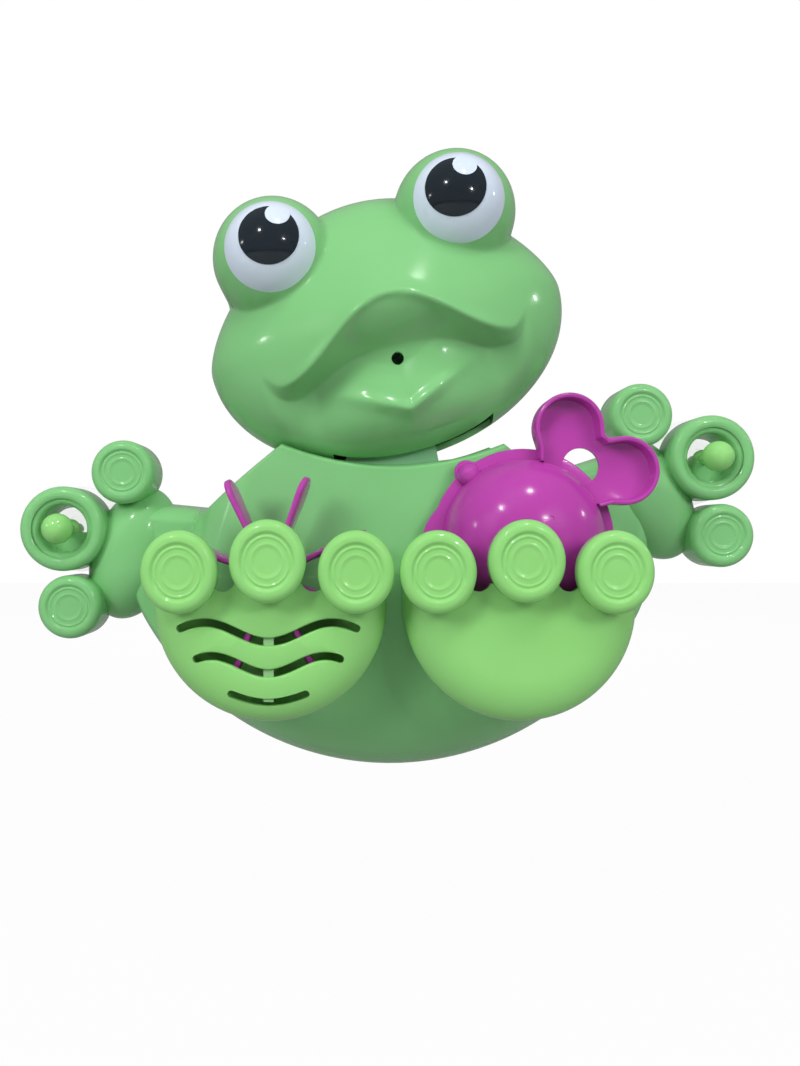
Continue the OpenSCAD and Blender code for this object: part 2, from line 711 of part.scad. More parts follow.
module fish_scoop() {
    color(pink) out_of_wall() translate([scoop_out, scoop_h, scoop_back]) difference() {
        union() {
            linear_extrude(rim_t) scoop_rim();
            rotate_extrude()
                polygon([for (i = [-1:bowl_steps]) i < 0 ? [0, 0] : bowl_point(i / bowl_steps, 0)]);
            difference() {
                rotate([0, 0, tail_angle]) linear_extrude(tail_depth) tail_outline(0);
                rotate([0, 0, tail_angle]) translate([0, 0, rim_t])
                    linear_extrude(tail_depth) tail_outline(scoop_wall);
                rotate([0, 0, tail_angle]) translate([tail_hole_at, 0, -over])
                    cylinder(r = tail_hole_r, h = tail_depth);
            }
            intersection() {
                rotate([0, 0, tail_angle]) linear_extrude(tail_depth) tail_outline(0);
                cylinder(r = bowl_r, h = tail_depth);
            }
        }
        rotate_extrude() polygon(concat([[0, -over], [bowl_r - scoop_wall, -over]],
            [for (i = [0:bowl_steps]) bowl_point(i / bowl_steps, scoop_wall)]));
    }
}

// Head

// Rise of the muzzle; the upper lip's line, a cosine that curls up at its ends, and the undercut below
// it; the dimple round the mouth's hole, which ends below in a ridge like a wide V
muzzle_rise = 8;
muzzle_half = 34;
muzzle_tall = 24;
lip_base_h = 5;
lip_swing = 11;
lip_long = 92;
lip_half = 53;
lip_curl = 8.5;
lip_curl_from = 46;
lip_cut = 13;
lip_soft = 4.5;
lip_hollow = 12.5;
lip_hollow_half = 22;
lip_fade = 20;
spout_cut = 4;
spout_half = 19;
spout_low_h = -27;
spout_top_h = -8;
spout_slope = 0.45;
spout_soft = 8;
spout_ridge = 1.6;
spout_ridge_half = 3.2;
bulge_mid = 52;
bulge_back_d = 16;
head_cells = 44;
brow_taper = 0.22;
brow_soft = 0.1;
back_cells = 20;

// The head's oval: an upper and a lower half ellipse that meet at the widest level, the upper one
// drawn in towards the crown by squeeze, which is level at that level and then nearly straight
function squeeze(t) = 1 - brow_taper * (sqrt(t * t + brow_soft * brow_soft) - brow_soft);
function oval_r(a, inset, left = 5, t = 0) = let (b = (sin(a) > 0 ? head_up : head_down) - inset,
        w = (head_half - inset) * squeeze(t), r = w * b / sqrt(pow(b * cos(a), 2) + pow(w * sin(a), 2)))
    left == 0 || sin(a) <= 0 ? r : oval_r(a, inset, left - 1, r * sin(a) / b);
function oval_share(x, z, inset) = let (b = (z > head_mid ? head_up : head_down) - inset,
        w = (head_half - inset) * squeeze(max(z - head_mid, 0) / b))
    min(pow(x / w, 2) + pow((z - head_mid) / b, 2), 1);
function step(t) = let (c = min(max(t, 0), 1)) c * c * (3 - 2 * c);
function bell(q) = exp(-q * q);
function base_depth(x, z, inset) = head_split
    + (head_front - head_split - inset) * sqrt(1 - oval_share(x, z, inset));
function lip_line(x) = lip_base_h + lip_swing * cos(360 * x / lip_long)
    + lip_curl * pow(max(abs(x) - lip_curl_from, 0) / (lip_half - lip_curl_from), 2);
function lip_band(x) = lip_soft + lip_hollow * bell(x / lip_hollow_half);
function muzzle(x, z) = muzzle_rise * bell(x / muzzle_half) * bell(z / muzzle_tall);
function undercut(x, z) = let (below = lip_line(x) - z, mid = max(1 - pow(x / lip_half, 2), 0))
    lip_cut * pow(mid, 0.6) * step(below / lip_band(x)) * bell(max(below - lip_band(x), 0) / lip_fade);
function spout(x, z) = let (v = z - spout_low_h - spout_slope * abs(x))
    spout_cut * step(v / spout_soft) * bell(x / spout_half) * (1 - step((z - spout_top_h) / spout_half))
    - spout_ridge * bell(v / spout_ridge_half) * bell(x / spout_half);
function bulge(x, z, inset) = let (u = abs(x) - eye_out, v = z - eye_h,
        q = pow(bulge_r - inset, 2) - u * u - v * v)
    q > 0 ? bulge_mid + sqrt(q) : -1;
function face_depth(x, z, inset) = max(bulge(x, z, inset),
    base_depth(x, z, inset) + muzzle(x, z) - undercut(x, z) - spout(x, z));
// Reach of the outline in direction a, with the eye bulges that stand past the oval
function bulge_reach(a, side, inset) = let (cx = side * eye_out, cz = eye_h - head_mid,
        along = cx * cos(a) + cz * sin(a), off = pow(cx, 2) + pow(cz, 2) - along * along,
        q = pow(bulge_r - inset, 2) - off) q > 0 && along > 0 ? along + sqrt(q) : 0;
function reach(a, inset) = max(oval_r(a, inset), bulge_reach(a, 1, inset), bulge_reach(a, -1, inset));
function back_bulge(x, z, inset) = let (u = abs(x) - eye_out, v = z - eye_h,
        q = 1 - (u * u + v * v) / pow(bulge_r - inset, 2))
    q > 0 ? (bulge_back_d - inset) * sqrt(q) : 0;
function back_depth(x, z, inset) = head_split - seat
    - max(back_bulge(x, z, inset), (head_split - head_back_d - inset) * sqrt(1 - oval_share(x, z, inset)));
// A square grid drawn out to the head's outline: u and v run from -1 to 1
function disc(u, v) = [u * sqrt(1 - v * v / 2), v * sqrt(1 - u * u / 2)];
function head_spot(u, v, inset) =
    let (p = disc(u, v), r = norm(p), a = atan2(p[1], p[0]), k = r * reach(a, inset))
    [k * cos(a), head_mid + k * sin(a)];
function on_edge(i, j, n) = i == 0 || j == 0 || i == n || j == n;
function face_patch(inset) = [for (i = [0:head_cells]) [for (j = [0:head_cells])
    let (p = head_spot(spread(2 * i / head_cells - 1), spread(2 * j / head_cells - 1), inset))
        [p[0], p[1], on_edge(i, j, head_cells) ? head_split
            : max(face_depth(p[0], p[1], inset), head_split + seat)]]];
function back_patch(inset) = [for (i = [0:back_cells]) [for (j = [0:back_cells])
    let (p = head_spot(-sin(90 * (2 * i / back_cells - 1)), sin(90 * (2 * j / back_cells - 1)), inset))
        [p[0], p[1], on_edge(i, j, back_cells) ? head_split - seat
            : min(back_depth(p[0], p[1], inset), head_split - 2 * seat)]]];

// Slot in the underside, through which the neck plate passes
slot_half = 34.5;
slot_gap = 3.5;
head_screw_side_out = 57;
head_screw_side_up = 6;
head_screw_low_out = 41;
head_screw_low_up = -24;
head_screw_spots = [for (s = [-1, 1]) each
    [[s * head_screw_side_out, head_screw_side_up], [s * head_screw_low_out, head_screw_low_up]]];
head_screw_d = 25;
head_boss_r = 4.2;
bracket_front = 64.3;
pin_boss_r = 6.5;
eye_dome_r = 20;
eye_dome_mid = 59.5;
eye_back = 63;
module head_slot() {
    translate([-slot_half, -head_down, head_split - over])
        cube([2 * slot_half, head_down - link_top_r * 2, link_front + slot_gap - head_split + over]);
}
module face_shell() {
    color(leaf) head_frame() difference() {
        union() {
            patch_shell(face_patch(0), face_patch(wall));
            for (p = head_screw_spots) let (q = outward(p, [0, head_mid], head_boss_r))
                translate([p[0], p[1], head_split])
                cylinder(r = head_boss_r, h = base_depth(q[0], q[1], 0) - head_split - wall / 2);
            translate([bellows_fixed - reed_t - seat - wall, crank_r * cos(head_tilt) - bellows_r,
                head_split])
                cube([wall, 2 * bellows_r, bracket_front - head_split]);
            translate([0, 0, link_boss_front + seat])
                cylinder(r = pin_boss_r, h = pin_boss_front - link_boss_front - seat);
        }
        head_slot();
        translate([0, 0, link_boss_front - over])
            cylinder(r = pin_r + seat / 2, h = pin_front - link_boss_front + over);
        translate([0, mouth_h, pin_front]) cylinder(r = mouth_hole_r, h = toe_front);
        for (s = [-1, 1])
            translate([s * eye_out, eye_h, bulge_mid]) cylinder(r = eye_r + seat, h = toe_front);
        for (p = head_screw_spots) translate([p[0], p[1], head_split - over])
            cylinder(r = screw_r, h = screw_bite + over + wall);
    }
}
mouth_h = -5.7;
pin_front = 57;
pin_boss_front = 62.2;
pin_back = 16;
module head_back() {
    color(leaf) head_frame() difference() {
        union() {
            patch_shell(back_patch(0), back_patch(wall));
            for (p = head_screw_spots)
                let (q = outward(p, [0, head_mid], head_boss_r), d = back_depth(q[0], q[1], 0) + wall / 2)
                    translate([p[0], p[1], d]) cylinder(r = head_boss_r, h = head_split - seat - d);
            translate([0, 0, head_back_d + wall / 2])
                cylinder(r = pin_boss_r, h = link_boss_back - seat - head_back_d - wall / 2);
        }
        translate([0, 0, pin_back]) cylinder(r = pin_r + seat / 2, h = link_boss_back);
        for (p = head_screw_spots) translate([p[0], p[1], 0]) {
            cylinder(r = screw_head_r + seat, h = head_screw_d + screw_head_t + 2 * seat);
            cylinder(r = screw_r + seat, h = head_split + over);
        }
    }
}
module eye(side) {
    color("white") head_frame() translate([side * eye_out, eye_h, 0]) intersection() {
        translate([0, 0, eye_dome_mid]) sphere(r = eye_dome_r);
        translate([0, 0, eye_back]) cylinder(r = eye_r, h = eye_dome_r * 2);
    }
}
module left_eye() { eye(-1); }
module right_eye() { eye(1); }
pupil_t = 0.3;
pupil_up = 1.7;
pupil_in = 1.5;
notch_r = 4.8;
notch_right = 5.8;
notch_up = 6.8;
module pupil(side) {
    color("black") head_frame() translate([side * eye_out, eye_h, 0]) difference() {
        intersection() {
            translate([0, 0, eye_dome_mid]) sphere(r = eye_dome_r + pupil_t);
            translate([-side * pupil_in, pupil_up, eye_back]) cylinder(r = pupil_r, h = eye_dome_r * 2);
        }
        translate([0, 0, eye_dome_mid]) sphere(r = eye_dome_r);
        translate([notch_right - side * pupil_in, notch_up + pupil_up, eye_back])
            cylinder(r = notch_r, h = eye_dome_r * 2);
    }
}
module left_pupil() { pupil(-1); }
module right_pupil() { pupil(1); }
module pivot_pin() {
    color("silver") head_frame() translate([0, 0, pin_back + seat])
        cylinder(r = pin_r, h = pin_front - pin_back - 2 * seat);
}

// Squeaker: the neck plate's crank presses the bellows as the head rocks

bellows_r = 9;
bellows_folds = 5;
bellows_fixed = -32;
bellows_free = (crank_r * cos(head_tilt) - bellows_r) * tan(head_tilt)
    - crank_half / cos(head_tilt) - 2 * seat;
module squeaker_bellows() {
    pitch = (bellows_free - bellows_fixed) / bellows_folds;
    color("ivory") head_frame() translate([bellows_fixed, crank_r * cos(head_tilt), link_back + link_t / 2])
        rotate([0, 90, 0]) rotate_extrude() polygon(concat([[0, 0]],
            [for (i = [0:bellows_folds - 1])
                each [[bellows_r * 0.7, pitch * i], [bellows_r, pitch * (i + 0.5)]]],
            [[bellows_r * 0.7, pitch * bellows_folds], [0, pitch * bellows_folds]]));
}
reed_r = 6;
reed_t = 4;
module squeaker_reed() {
    color("ivory") head_frame()
        translate([bellows_fixed - reed_t, crank_r * cos(head_tilt), link_back + link_t / 2])
        rotate([0, 90, 0]) cylinder(r = reed_r, h = reed_t);
}
module head_screws() {
    head_frame() for (p = head_screw_spots) translate([p[0], p[1], head_screw_d + seat])
        screw(head_split - head_screw_d + screw_bite);
}

belly_shell();
back_cover();
neck_link();
left_hand();
right_hand();
left_suction_cup();
right_suction_cup();
left_cup_knob();
right_cup_knob();
left_foot();
right_foot();
wheel_axle();
body_screws();
hand_screws();
foot_screws();
face_shell();
head_back();
left_eye();
right_eye();
left_pupil();
right_pupil();
pivot_pin();
squeaker_bellows();
squeaker_reed();
head_screws();
water_wheel();
fish_scoop();
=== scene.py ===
"""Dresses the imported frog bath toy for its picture.

The toy hangs on a wall by two suction cups. Lengths are in millimetres in the classes below, and
become metres when a mesh is made. A local point is (across, up, out): out is the distance from the wall.
"""

from __future__ import annotations

import json
import logging
import math
from collections.abc import Callable, Sequence
from dataclasses import dataclass, field
from enum import Enum

import bmesh
import bpy
import numpy as np
from mathutils import Matrix, Vector

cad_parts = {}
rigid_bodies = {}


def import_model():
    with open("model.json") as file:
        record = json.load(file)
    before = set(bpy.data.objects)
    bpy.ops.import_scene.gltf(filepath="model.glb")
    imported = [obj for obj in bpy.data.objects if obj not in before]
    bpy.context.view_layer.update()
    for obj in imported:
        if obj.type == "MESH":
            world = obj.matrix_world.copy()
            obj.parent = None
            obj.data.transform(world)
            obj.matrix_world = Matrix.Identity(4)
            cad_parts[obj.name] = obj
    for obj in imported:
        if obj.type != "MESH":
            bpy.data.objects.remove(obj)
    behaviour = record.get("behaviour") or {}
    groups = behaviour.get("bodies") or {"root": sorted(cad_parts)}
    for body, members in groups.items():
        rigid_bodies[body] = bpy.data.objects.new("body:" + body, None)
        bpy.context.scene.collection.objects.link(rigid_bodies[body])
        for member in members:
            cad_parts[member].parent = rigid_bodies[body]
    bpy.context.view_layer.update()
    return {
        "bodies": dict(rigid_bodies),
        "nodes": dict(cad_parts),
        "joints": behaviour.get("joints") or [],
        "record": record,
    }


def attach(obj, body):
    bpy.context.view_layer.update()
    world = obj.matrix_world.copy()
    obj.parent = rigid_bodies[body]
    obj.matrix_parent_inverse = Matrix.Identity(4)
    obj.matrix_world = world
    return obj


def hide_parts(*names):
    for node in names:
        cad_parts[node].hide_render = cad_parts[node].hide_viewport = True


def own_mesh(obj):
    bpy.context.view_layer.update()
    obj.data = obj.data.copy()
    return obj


LOG = logging.getLogger("frog")
MM = 0.001
WELD = 2e-6
WALL = 2.5
Grid = np.ndarray
Span = tuple[float, float]
Socket = bpy.types.NodeSocket
Place = Callable[[Grid], Grid]


class Side(Enum):
    """Side of the toy as the picture shows it."""

    LEFT = -1
    RIGHT = 1


class Body(Enum):
    """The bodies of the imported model."""

    TORSO = "torso"
    HEAD = "head"
    WHEEL = "wheel"
    SCOOP = "scoop"


def turned(across: Grid, up: Grid, degrees: float) -> tuple[Grid, Grid]:
    """Turns a pair of coordinates anticlockwise as seen from the front: x cos - z sin, x sin + z cos."""
    c, s = math.cos(math.radians(degrees)), math.sin(math.radians(degrees))
    return across * c - up * s, across * s + up * c


def on_wall(p: Grid) -> Grid:
    """Takes (across, up, out) to the row's frame: x across, y into the wall, z up."""
    return np.stack([p[..., 0], -p[..., 2], p[..., 1]], axis=-1)


def shifted(across: float, up: float, out: float = 0.0, then: Place = on_wall) -> Place:
    """A place that moves its points and then hands them on."""
    return lambda p: then(p + np.array([across, up, out]))


def ease(q: Grid) -> Grid:
    """Quarter-circle rise from 0 to 1 as q runs from 0 to 1, flat beyond."""
    return np.sqrt(np.clip(1 - (1 - np.clip(q, 0, 1)) ** 2, 0, 1))


def step(q: Grid) -> Grid:
    """Smooth step: 3q^2 - 2q^3 between 0 and 1."""
    c = np.clip(q, 0, 1)
    return c * c * (3 - 2 * c)


def ramp(q: Grid, soft: float = 0.08) -> Grid:
    """Straight rise from 0 to 1 with both ends rounded: half the difference of two soft distances."""
    return (np.sqrt(q * q + soft * soft) - np.sqrt((q - 1) ** 2 + soft * soft) + 1) / 2


def bell(q: Grid) -> Grid:
    """Bell curve: e to the power of minus q squared."""
    return np.exp(-q * q)


def soft_max(a: Grid, b: Grid, soft: float) -> Grid:
    """The larger of two surfaces, with a fillet of about the given size where they cross."""
    h = np.clip(0.5 + 0.5 * (a - b) / soft, 0, 1)
    return b + (a - b) * h + soft * h * (1 - h)


def spread(count: int) -> Grid:
    """Steps from -1 to 1 that crowd a little towards both ends: the mean of t and sin(90t)."""
    t = np.linspace(-1, 1, count)
    return (t + np.sin(np.pi / 2 * t)) / 2


def circle(count: int) -> Grid:
    """Angles round a circle, the last step left out."""
    return np.linspace(0, 2 * np.pi, count, endpoint=False)


@dataclass
class Patch:
    """A grid of points with the way that its edges close.

    Attributes:
        points: array of rows x columns x 3, in millimetres.
        around: whether the last column joins the first.
        along: whether the last row joins the first.
    """

    points: Grid
    around: bool = False
    along: bool = False

    def faces(self, first: int) -> Grid:
        """Four-cornered faces of the grid.

        Args:
            first: number of the grid's first point.

        Returns:
            The four point numbers of each face.
        """
        rows, columns = self.points.shape[:2]
        index = first + np.arange(rows * columns).reshape(rows, columns)
        if self.around:
            index = np.concatenate([index, index[:, :1]], axis=1)
        if self.along:
            index = np.concatenate([index, index[:1]], axis=0)
        corners = (index[:-1, :-1], index[1:, :-1], index[1:, 1:], index[:-1, 1:])
        return np.stack(corners, axis=-1).reshape(-1, 4)


def lathe(profile: Sequence[tuple[float, float]] | Grid, count: int = 96) -> Patch:
    """Turns a profile round the axis that points out of the wall: (r cos a, r sin a, out).

    Args:
        profile: points of (radius, out).
        count: steps round the circle.

    Returns:
        A patch that closes round the axis.
    """
    line = np.asarray(profile, dtype=float)
    angle = circle(count)
    r, out = line[:, 0][:, None], line[:, 1][:, None]
    return Patch(np.stack([r * np.cos(angle), r * np.sin(angle), out + 0 * angle], axis=-1), around=True)


def arc(across: float, out: float, radius: float, start: float, end: float, count: int = 9) -> Grid:
    """Points of an arc in a profile, from one angle in degrees to another."""
    a = np.radians(np.linspace(start, end, count))
    return np.stack([across + radius * np.cos(a), out + radius * np.sin(a)], axis=-1)


def line_of(*parts: Grid | Sequence[Sequence[float]]) -> Grid:
    """Joins runs of profile points into one line."""
    return np.concatenate([np.atleast_2d(np.asarray(p, dtype=float)) for p in parts])


def flat_ring(outline: Grid, out: float) -> Grid:
    """Lays an outline of (across, up) points on one level."""
    return np.column_stack([outline, np.full(len(outline), out)])


def rings(outline: Callable[[float], Grid], steps: Sequence[tuple[float, float]]) -> Patch:
    """Stacks an outline into a closed solid: each step is (inset, out), and both ends are closed.

    Args:
        outline: gives the outline's points (count x 2) for an inset.
        steps: the inset and the distance from the wall of each ring.

    Returns:
        A patch whose first and last rows are drawn in to the middle of the outline.
    """
    rows = [flat_ring(outline(inset), out) for inset, out in steps]
    for end in (0, -1):
        middle = rows[end].mean(axis=0)
        rows.insert(0 if end == 0 else len(rows), np.broadcast_to(middle, rows[end].shape))
    return Patch(np.stack(rows), around=True)


def shell(outer: Grid, inner: Grid) -> list[Patch]:
    """A closed wall between two open grids, whose edges are joined all round.

    Args:
        outer: grid of the outside.
        inner: grid of the inside, of the same size.

    Returns:
        The two skins and the four strips along their edges.
    """
    edges = [
        np.stack([outer[0], inner[0]]),
        np.stack([outer[-1], inner[-1]]),
        np.stack([outer[:, 0], inner[:, 0]]),
        np.stack([outer[:, -1], inner[:, -1]]),
    ]
    return [Patch(outer), Patch(inner), *(Patch(e) for e in edges)]


def rod(radius: float, low: float, high: float, count: int = 48) -> Patch:
    """A closed round rod that points out of the wall, between two distances from it."""
    return lathe([(0, low), (radius, low), (radius, high), (0, high)], count)


def solid(name: str, patches: Sequence[Patch], place: Place = on_wall) -> bpy.types.Object:
    """Makes one mesh object from patches: welded, with its faces turned outwards.

    Args:
        name: the piece's name.
        patches: its surfaces, in millimetres in the local frame.
        place: takes local points to the row's frame.

    Returns:
        The new object, in metres, at the origin.
    """
    points, faces, count = [], [], 0
    for patch in patches:
        faces.append(patch.faces(count))
        points.append(place(patch.points).reshape(-1, 3) * MM)
        count += len(points[-1])
    mesh = bpy.data.meshes.new(name)
    mesh.from_pydata(np.concatenate(points), [], np.concatenate(faces).tolist())
    work = bmesh.new()
    work.from_mesh(mesh)
    bmesh.ops.remove_doubles(work, verts=work.verts, dist=WELD)
    bmesh.ops.dissolve_degenerate(work, edges=work.edges, dist=WELD / 2)
    bmesh.ops.recalc_face_normals(work, faces=work.faces)
    work.to_mesh(mesh)
    work.free()
    thing = bpy.data.objects.new(name, mesh)
    bpy.context.scene.collection.objects.link(thing)
    return thing


def block(name: str, across: Span, up: Span, out: Span, place: Place = on_wall) -> bpy.types.Object:
    """A plain block.

    Args:
        name: the piece's name.
        across: its extent across, from and to.
        up: its extent in height.
        out: its extent in distance from the wall.
        place: takes local points to the row's frame.

    Returns:
        The new object.
    """
    flat = np.array([[across[i], up[j]] for i, j in ((0, 0), (1, 0), (1, 1), (0, 1))])
    return solid(name, [rings(lambda inset: flat, [(0, end) for end in out])], place)


def carved(thing: bpy.types.Object, tools: Sequence[bpy.types.Object]) -> bpy.types.Object:
    """Cuts tools out of a solid and removes the tools.

    Args:
        thing: the solid.
        tools: closed solids to take out of it.

    Returns:
        The same object with its new mesh.
    """
    for tool in tools:
        change = thing.modifiers.new("carve", "BOOLEAN")
        change.operation = "DIFFERENCE"
        change.solver = "MANIFOLD"
        change.object = tool
    graph = bpy.context.evaluated_depsgraph_get()
    mesh = bpy.data.meshes.new_from_object(thing.evaluated_get(graph))
    thing.modifiers.clear()
    thing.data = mesh
    for tool in tools:
        bpy.data.objects.remove(tool)
    return thing


def smooth(thing: bpy.types.Object, degrees: float = 38.0) -> None:
    """Shades a piece smoothly, with an edge where faces meet at more than an angle.

    Args:
        thing: the piece.
        degrees: that angle.
    """
    mesh = thing.data
    mesh.polygons.foreach_set("use_smooth", np.ones(len(mesh.polygons), dtype=bool))
    mesh.set_sharp_from_angle(angle=math.radians(degrees))


class Sum:
    """Wraps a shader socket, so that an expression on it adds its Math nodes."""

    def __init__(self, tree: Tree, socket: Socket) -> None:
        """Keeps the tree and the socket that holds the value."""
        self.tree = tree
        self.socket = socket

    def _with(self, operation: str, *values: Sum | float) -> Sum:
        """Adds one Math node for the operation."""
        return self.tree.node("ShaderNodeMath", {"operation": operation}, dict(enumerate(values)))

    def __add__(self, other: Sum | float) -> Sum:
        """Adds a value or a socket."""
        return self._with("ADD", self, other)

    def __sub__(self, other: Sum | float) -> Sum:
        """Takes a value or a socket away."""
        return self._with("SUBTRACT", self, other)

    def __mul__(self, other: Sum | float) -> Sum:
        """Multiplies by a value or a socket."""
        return self._with("MULTIPLY", self, other)

    def __rsub__(self, other: float) -> Sum:
        """Takes this socket away from a number."""
        return self._with("SUBTRACT", other, self)

    __radd__ = __add__
    __rmul__ = __mul__

    def clamp(self) -> Sum:
        """Keeps the value between 0 and 1."""
        return self.tree.node("ShaderNodeClamp", {}, {"Value": self})


class Tree:
    """A material's node tree, with one way to add any node."""

    def __init__(self, name: str) -> None:
        """Starts an empty material.

        Args:
            name: the material's name.
        """
        self.material = bpy.data.materials.new(name)
        self.material.use_nodes = True
        self.nodes = self.material.node_tree.nodes
        self.nodes.clear()

    def node(self, kind: str, settings: dict, inputs: dict, output: int | str = 0) -> Sum:
        """Adds a node, applies its settings, and gives its inputs their values or links.

        Args:
            kind: the node's type name.
            settings: attributes of the node, set first.
            inputs: socket name or number to a value or another socket.
            output: the socket that the result wraps.

        Returns:
            The wrapped output socket.
        """
        made = self.nodes.new(kind)
        for key, value in settings.items():
            setattr(made, key, value)
        for key, value in inputs.items():
            socket = made.inputs[key]
            if isinstance(value, Sum):
                self.material.node_tree.links.new(value.socket, socket)
            else:
                socket.default_value = value
        return Sum(self, made.outputs[output] if made.outputs else None)

    def noise(self, scale: float, detail: float) -> Sum:
        """Noise from 0 to 1 on the object's coordinates.

        Args:
            scale: bumps per metre.
            detail: octaves of finer noise on top.

        Returns:
            The noise's factor.
        """
        where = self.node("ShaderNodeTexCoord", {}, {}, "Object")
        return self.node("ShaderNodeTexNoise", {}, {"Vector": where, "Scale": scale, "Detail": detail})

    def blend(self, share: Sum | float, low: Sequence[float], high: Sequence[float]) -> Sum:
        """Mixes two colours by a share from 0 to 1."""
        inputs = {0: share, 6: (*low, 1.0), 7: (*high, 1.0)}
        return self.node("ShaderNodeMix", {"data_type": "RGBA"}, inputs, 2)


@dataclass(frozen=True)
class Finish:
    """A moulded or metal finish.

    Attributes:
        name: the material's name.
        low: linear colour where the slow mottling is dark.
        high: linear colour where it is light.
        rough: roughness, and how far it wanders.
        bump: height of the fine surface texture, in metres.
        metal: metallic share.
        alpha: opacity.
        coat: clear gloss on top.
        scales: bumps per metre of the slow, the middle and the fine noise.
        heights: their shares of the bump's height.
        mottle: level of the slow noise where the second colour starts, and how fast it takes over.
    """

    name: str
    low: tuple[float, float, float]
    high: tuple[float, float, float]
    rough: tuple[float, float] = (0.17, 0.07)
    bump: float = 0.00004
    metal: float = 0.0
    alpha: float = 1.0
    coat: float = 0.0
    scales: tuple[float, float, float] = (14.0, 60.0, 420.0)
    heights: tuple[float, float, float] = (12.0, 2.0, 0.4)
    mottle: tuple[float, float] = (0.3, 2.2)

    def build(self) -> bpy.types.Material:
        """Makes the material: mottled colour, roughness that wanders, and a fine skin.

        The slow noise, spread out about its middle, mixes the two colours. The other two move the
        roughness up and down, and the weighted sum of all three is the height of the bump.

        Returns:
            The new material.
        """
        tree = Tree(self.name)
        slow = tree.noise(self.scales[0], 3.0)
        fine = tree.noise(self.scales[2], 3.0)
        middle = tree.noise(self.scales[1], 2.0)
        start, pace = self.mottle
        colour = tree.blend(((slow - start) * pace).clamp(), self.low, self.high)
        level, wander = self.rough
        rough = level + (middle - 0.5) * wander + (fine - 0.5) * (wander / 2)
        height = slow * self.heights[0] + middle * self.heights[1] + fine * self.heights[2]
        bump = tree.node("ShaderNodeBump", {}, {"Height": height, "Distance": self.bump, "Strength": 1.0})
        shader = tree.node(
            "ShaderNodeBsdfPrincipled",
            {},
            {
                "Base Color": colour,
                "Roughness": rough,
                "Metallic": self.metal,
                "Alpha": self.alpha,
                "Coat Weight": self.coat,
                "Normal": bump,
            },
        )
        tree.node("ShaderNodeOutputMaterial", {}, {"Surface": shader})
        return tree.material


LEAF = Finish("leaf_plastic", (0.205, 0.545, 0.20), (0.235, 0.600, 0.235), coat=0.3)
LIME = Finish("lime_plastic", (0.275, 0.665, 0.185), (0.300, 0.710, 0.215), coat=0.25)
PINK = Finish("pink_plastic", (0.43, 0.040, 0.35), (0.49, 0.056, 0.41), coat=0.2)
WHITE = Finish("eye_white_plastic", (0.66, 0.76, 0.90), (0.72, 0.80, 0.92), rough=(0.12, 0.03), coat=0.5)
BLACK = Finish("pupil_print", (0.004, 0.010, 0.016), (0.008, 0.016, 0.024), rough=(0.12, 0.03), coat=0.2)
FROSTED = Finish("frosted_plate", (0.22, 0.55, 0.27), (0.26, 0.60, 0.31), rough=(0.3, 0.08), alpha=0.92)
# Painted shade: a darker, duller copy of the lime plastic, for the rib that sits in the recess behind the
# foot's slots.
LIME_IN_PAINTED_SHADE = Finish("lime_plastic_painted_shade", (0.28, 0.53, 0.24), (0.33, 0.59, 0.29), coat=0.2)
VINYL = Finish("clear_vinyl", (0.90, 0.94, 0.91), (0.94, 0.96, 0.95), rough=(0.12, 0.05), alpha=0.12)
STEEL = Finish("screw_steel", (0.52, 0.52, 0.53), (0.62, 0.62, 0.63), rough=(0.3, 0.1), metal=1.0)
IVORY = Finish("ivory_rubber", (0.66, 0.63, 0.52), (0.72, 0.69, 0.58), rough=(0.55, 0.1))


@dataclass
class Bench:
    """Joins pieces to the frame and hands out finishes.

    Attributes:
        frame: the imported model.
        ready: finishes that are already made.
    """

    frame: dict
    ready: dict[str, bpy.types.Material] = field(default_factory=dict)

    def material(self, finish: Finish) -> bpy.types.Material:
        """Gives the finish's material, which is made once.

        Args:
            finish: the finish.

        Returns:
            Its material.
        """
        if finish.name not in self.ready:
            self.ready[finish.name] = finish.build()
        return self.ready[finish.name]

    def fit(
        self,
        thing: bpy.types.Object,
        body: Body,
        finish: Finish,
        instead: Sequence[str] = (),
        degrees: float = 38.0,
    ) -> None:
        """Shades a piece, gives it its finish and fixes it to its body.

        Args:
            thing: the piece.
            body: the body that it rides on.
            finish: its finish.
            instead: nodes that it stands for.
            degrees: angle past which an edge stays sharp.
        """
        smooth(thing, degrees)
        thing.data.materials.clear()
        thing.data.materials.append(self.material(finish))
        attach(thing, body.value)
        if instead:
            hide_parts(*instead)
        LOG.info("%s: %d faces on %s", thing.name, len(thing.data.polygons), body.value)

    def dress(self, nodes: Sequence[str], finish: Finish) -> None:
        """Gives solids that stay as they are their finish.

        Args:
            nodes: names of the solids.
            finish: their finish.
        """
        for name in nodes:
            node = self.frame["nodes"][name]
            node.data.materials.clear()
            node.data.materials.append(self.material(finish))
            LOG.info("%s keeps its solid", name)


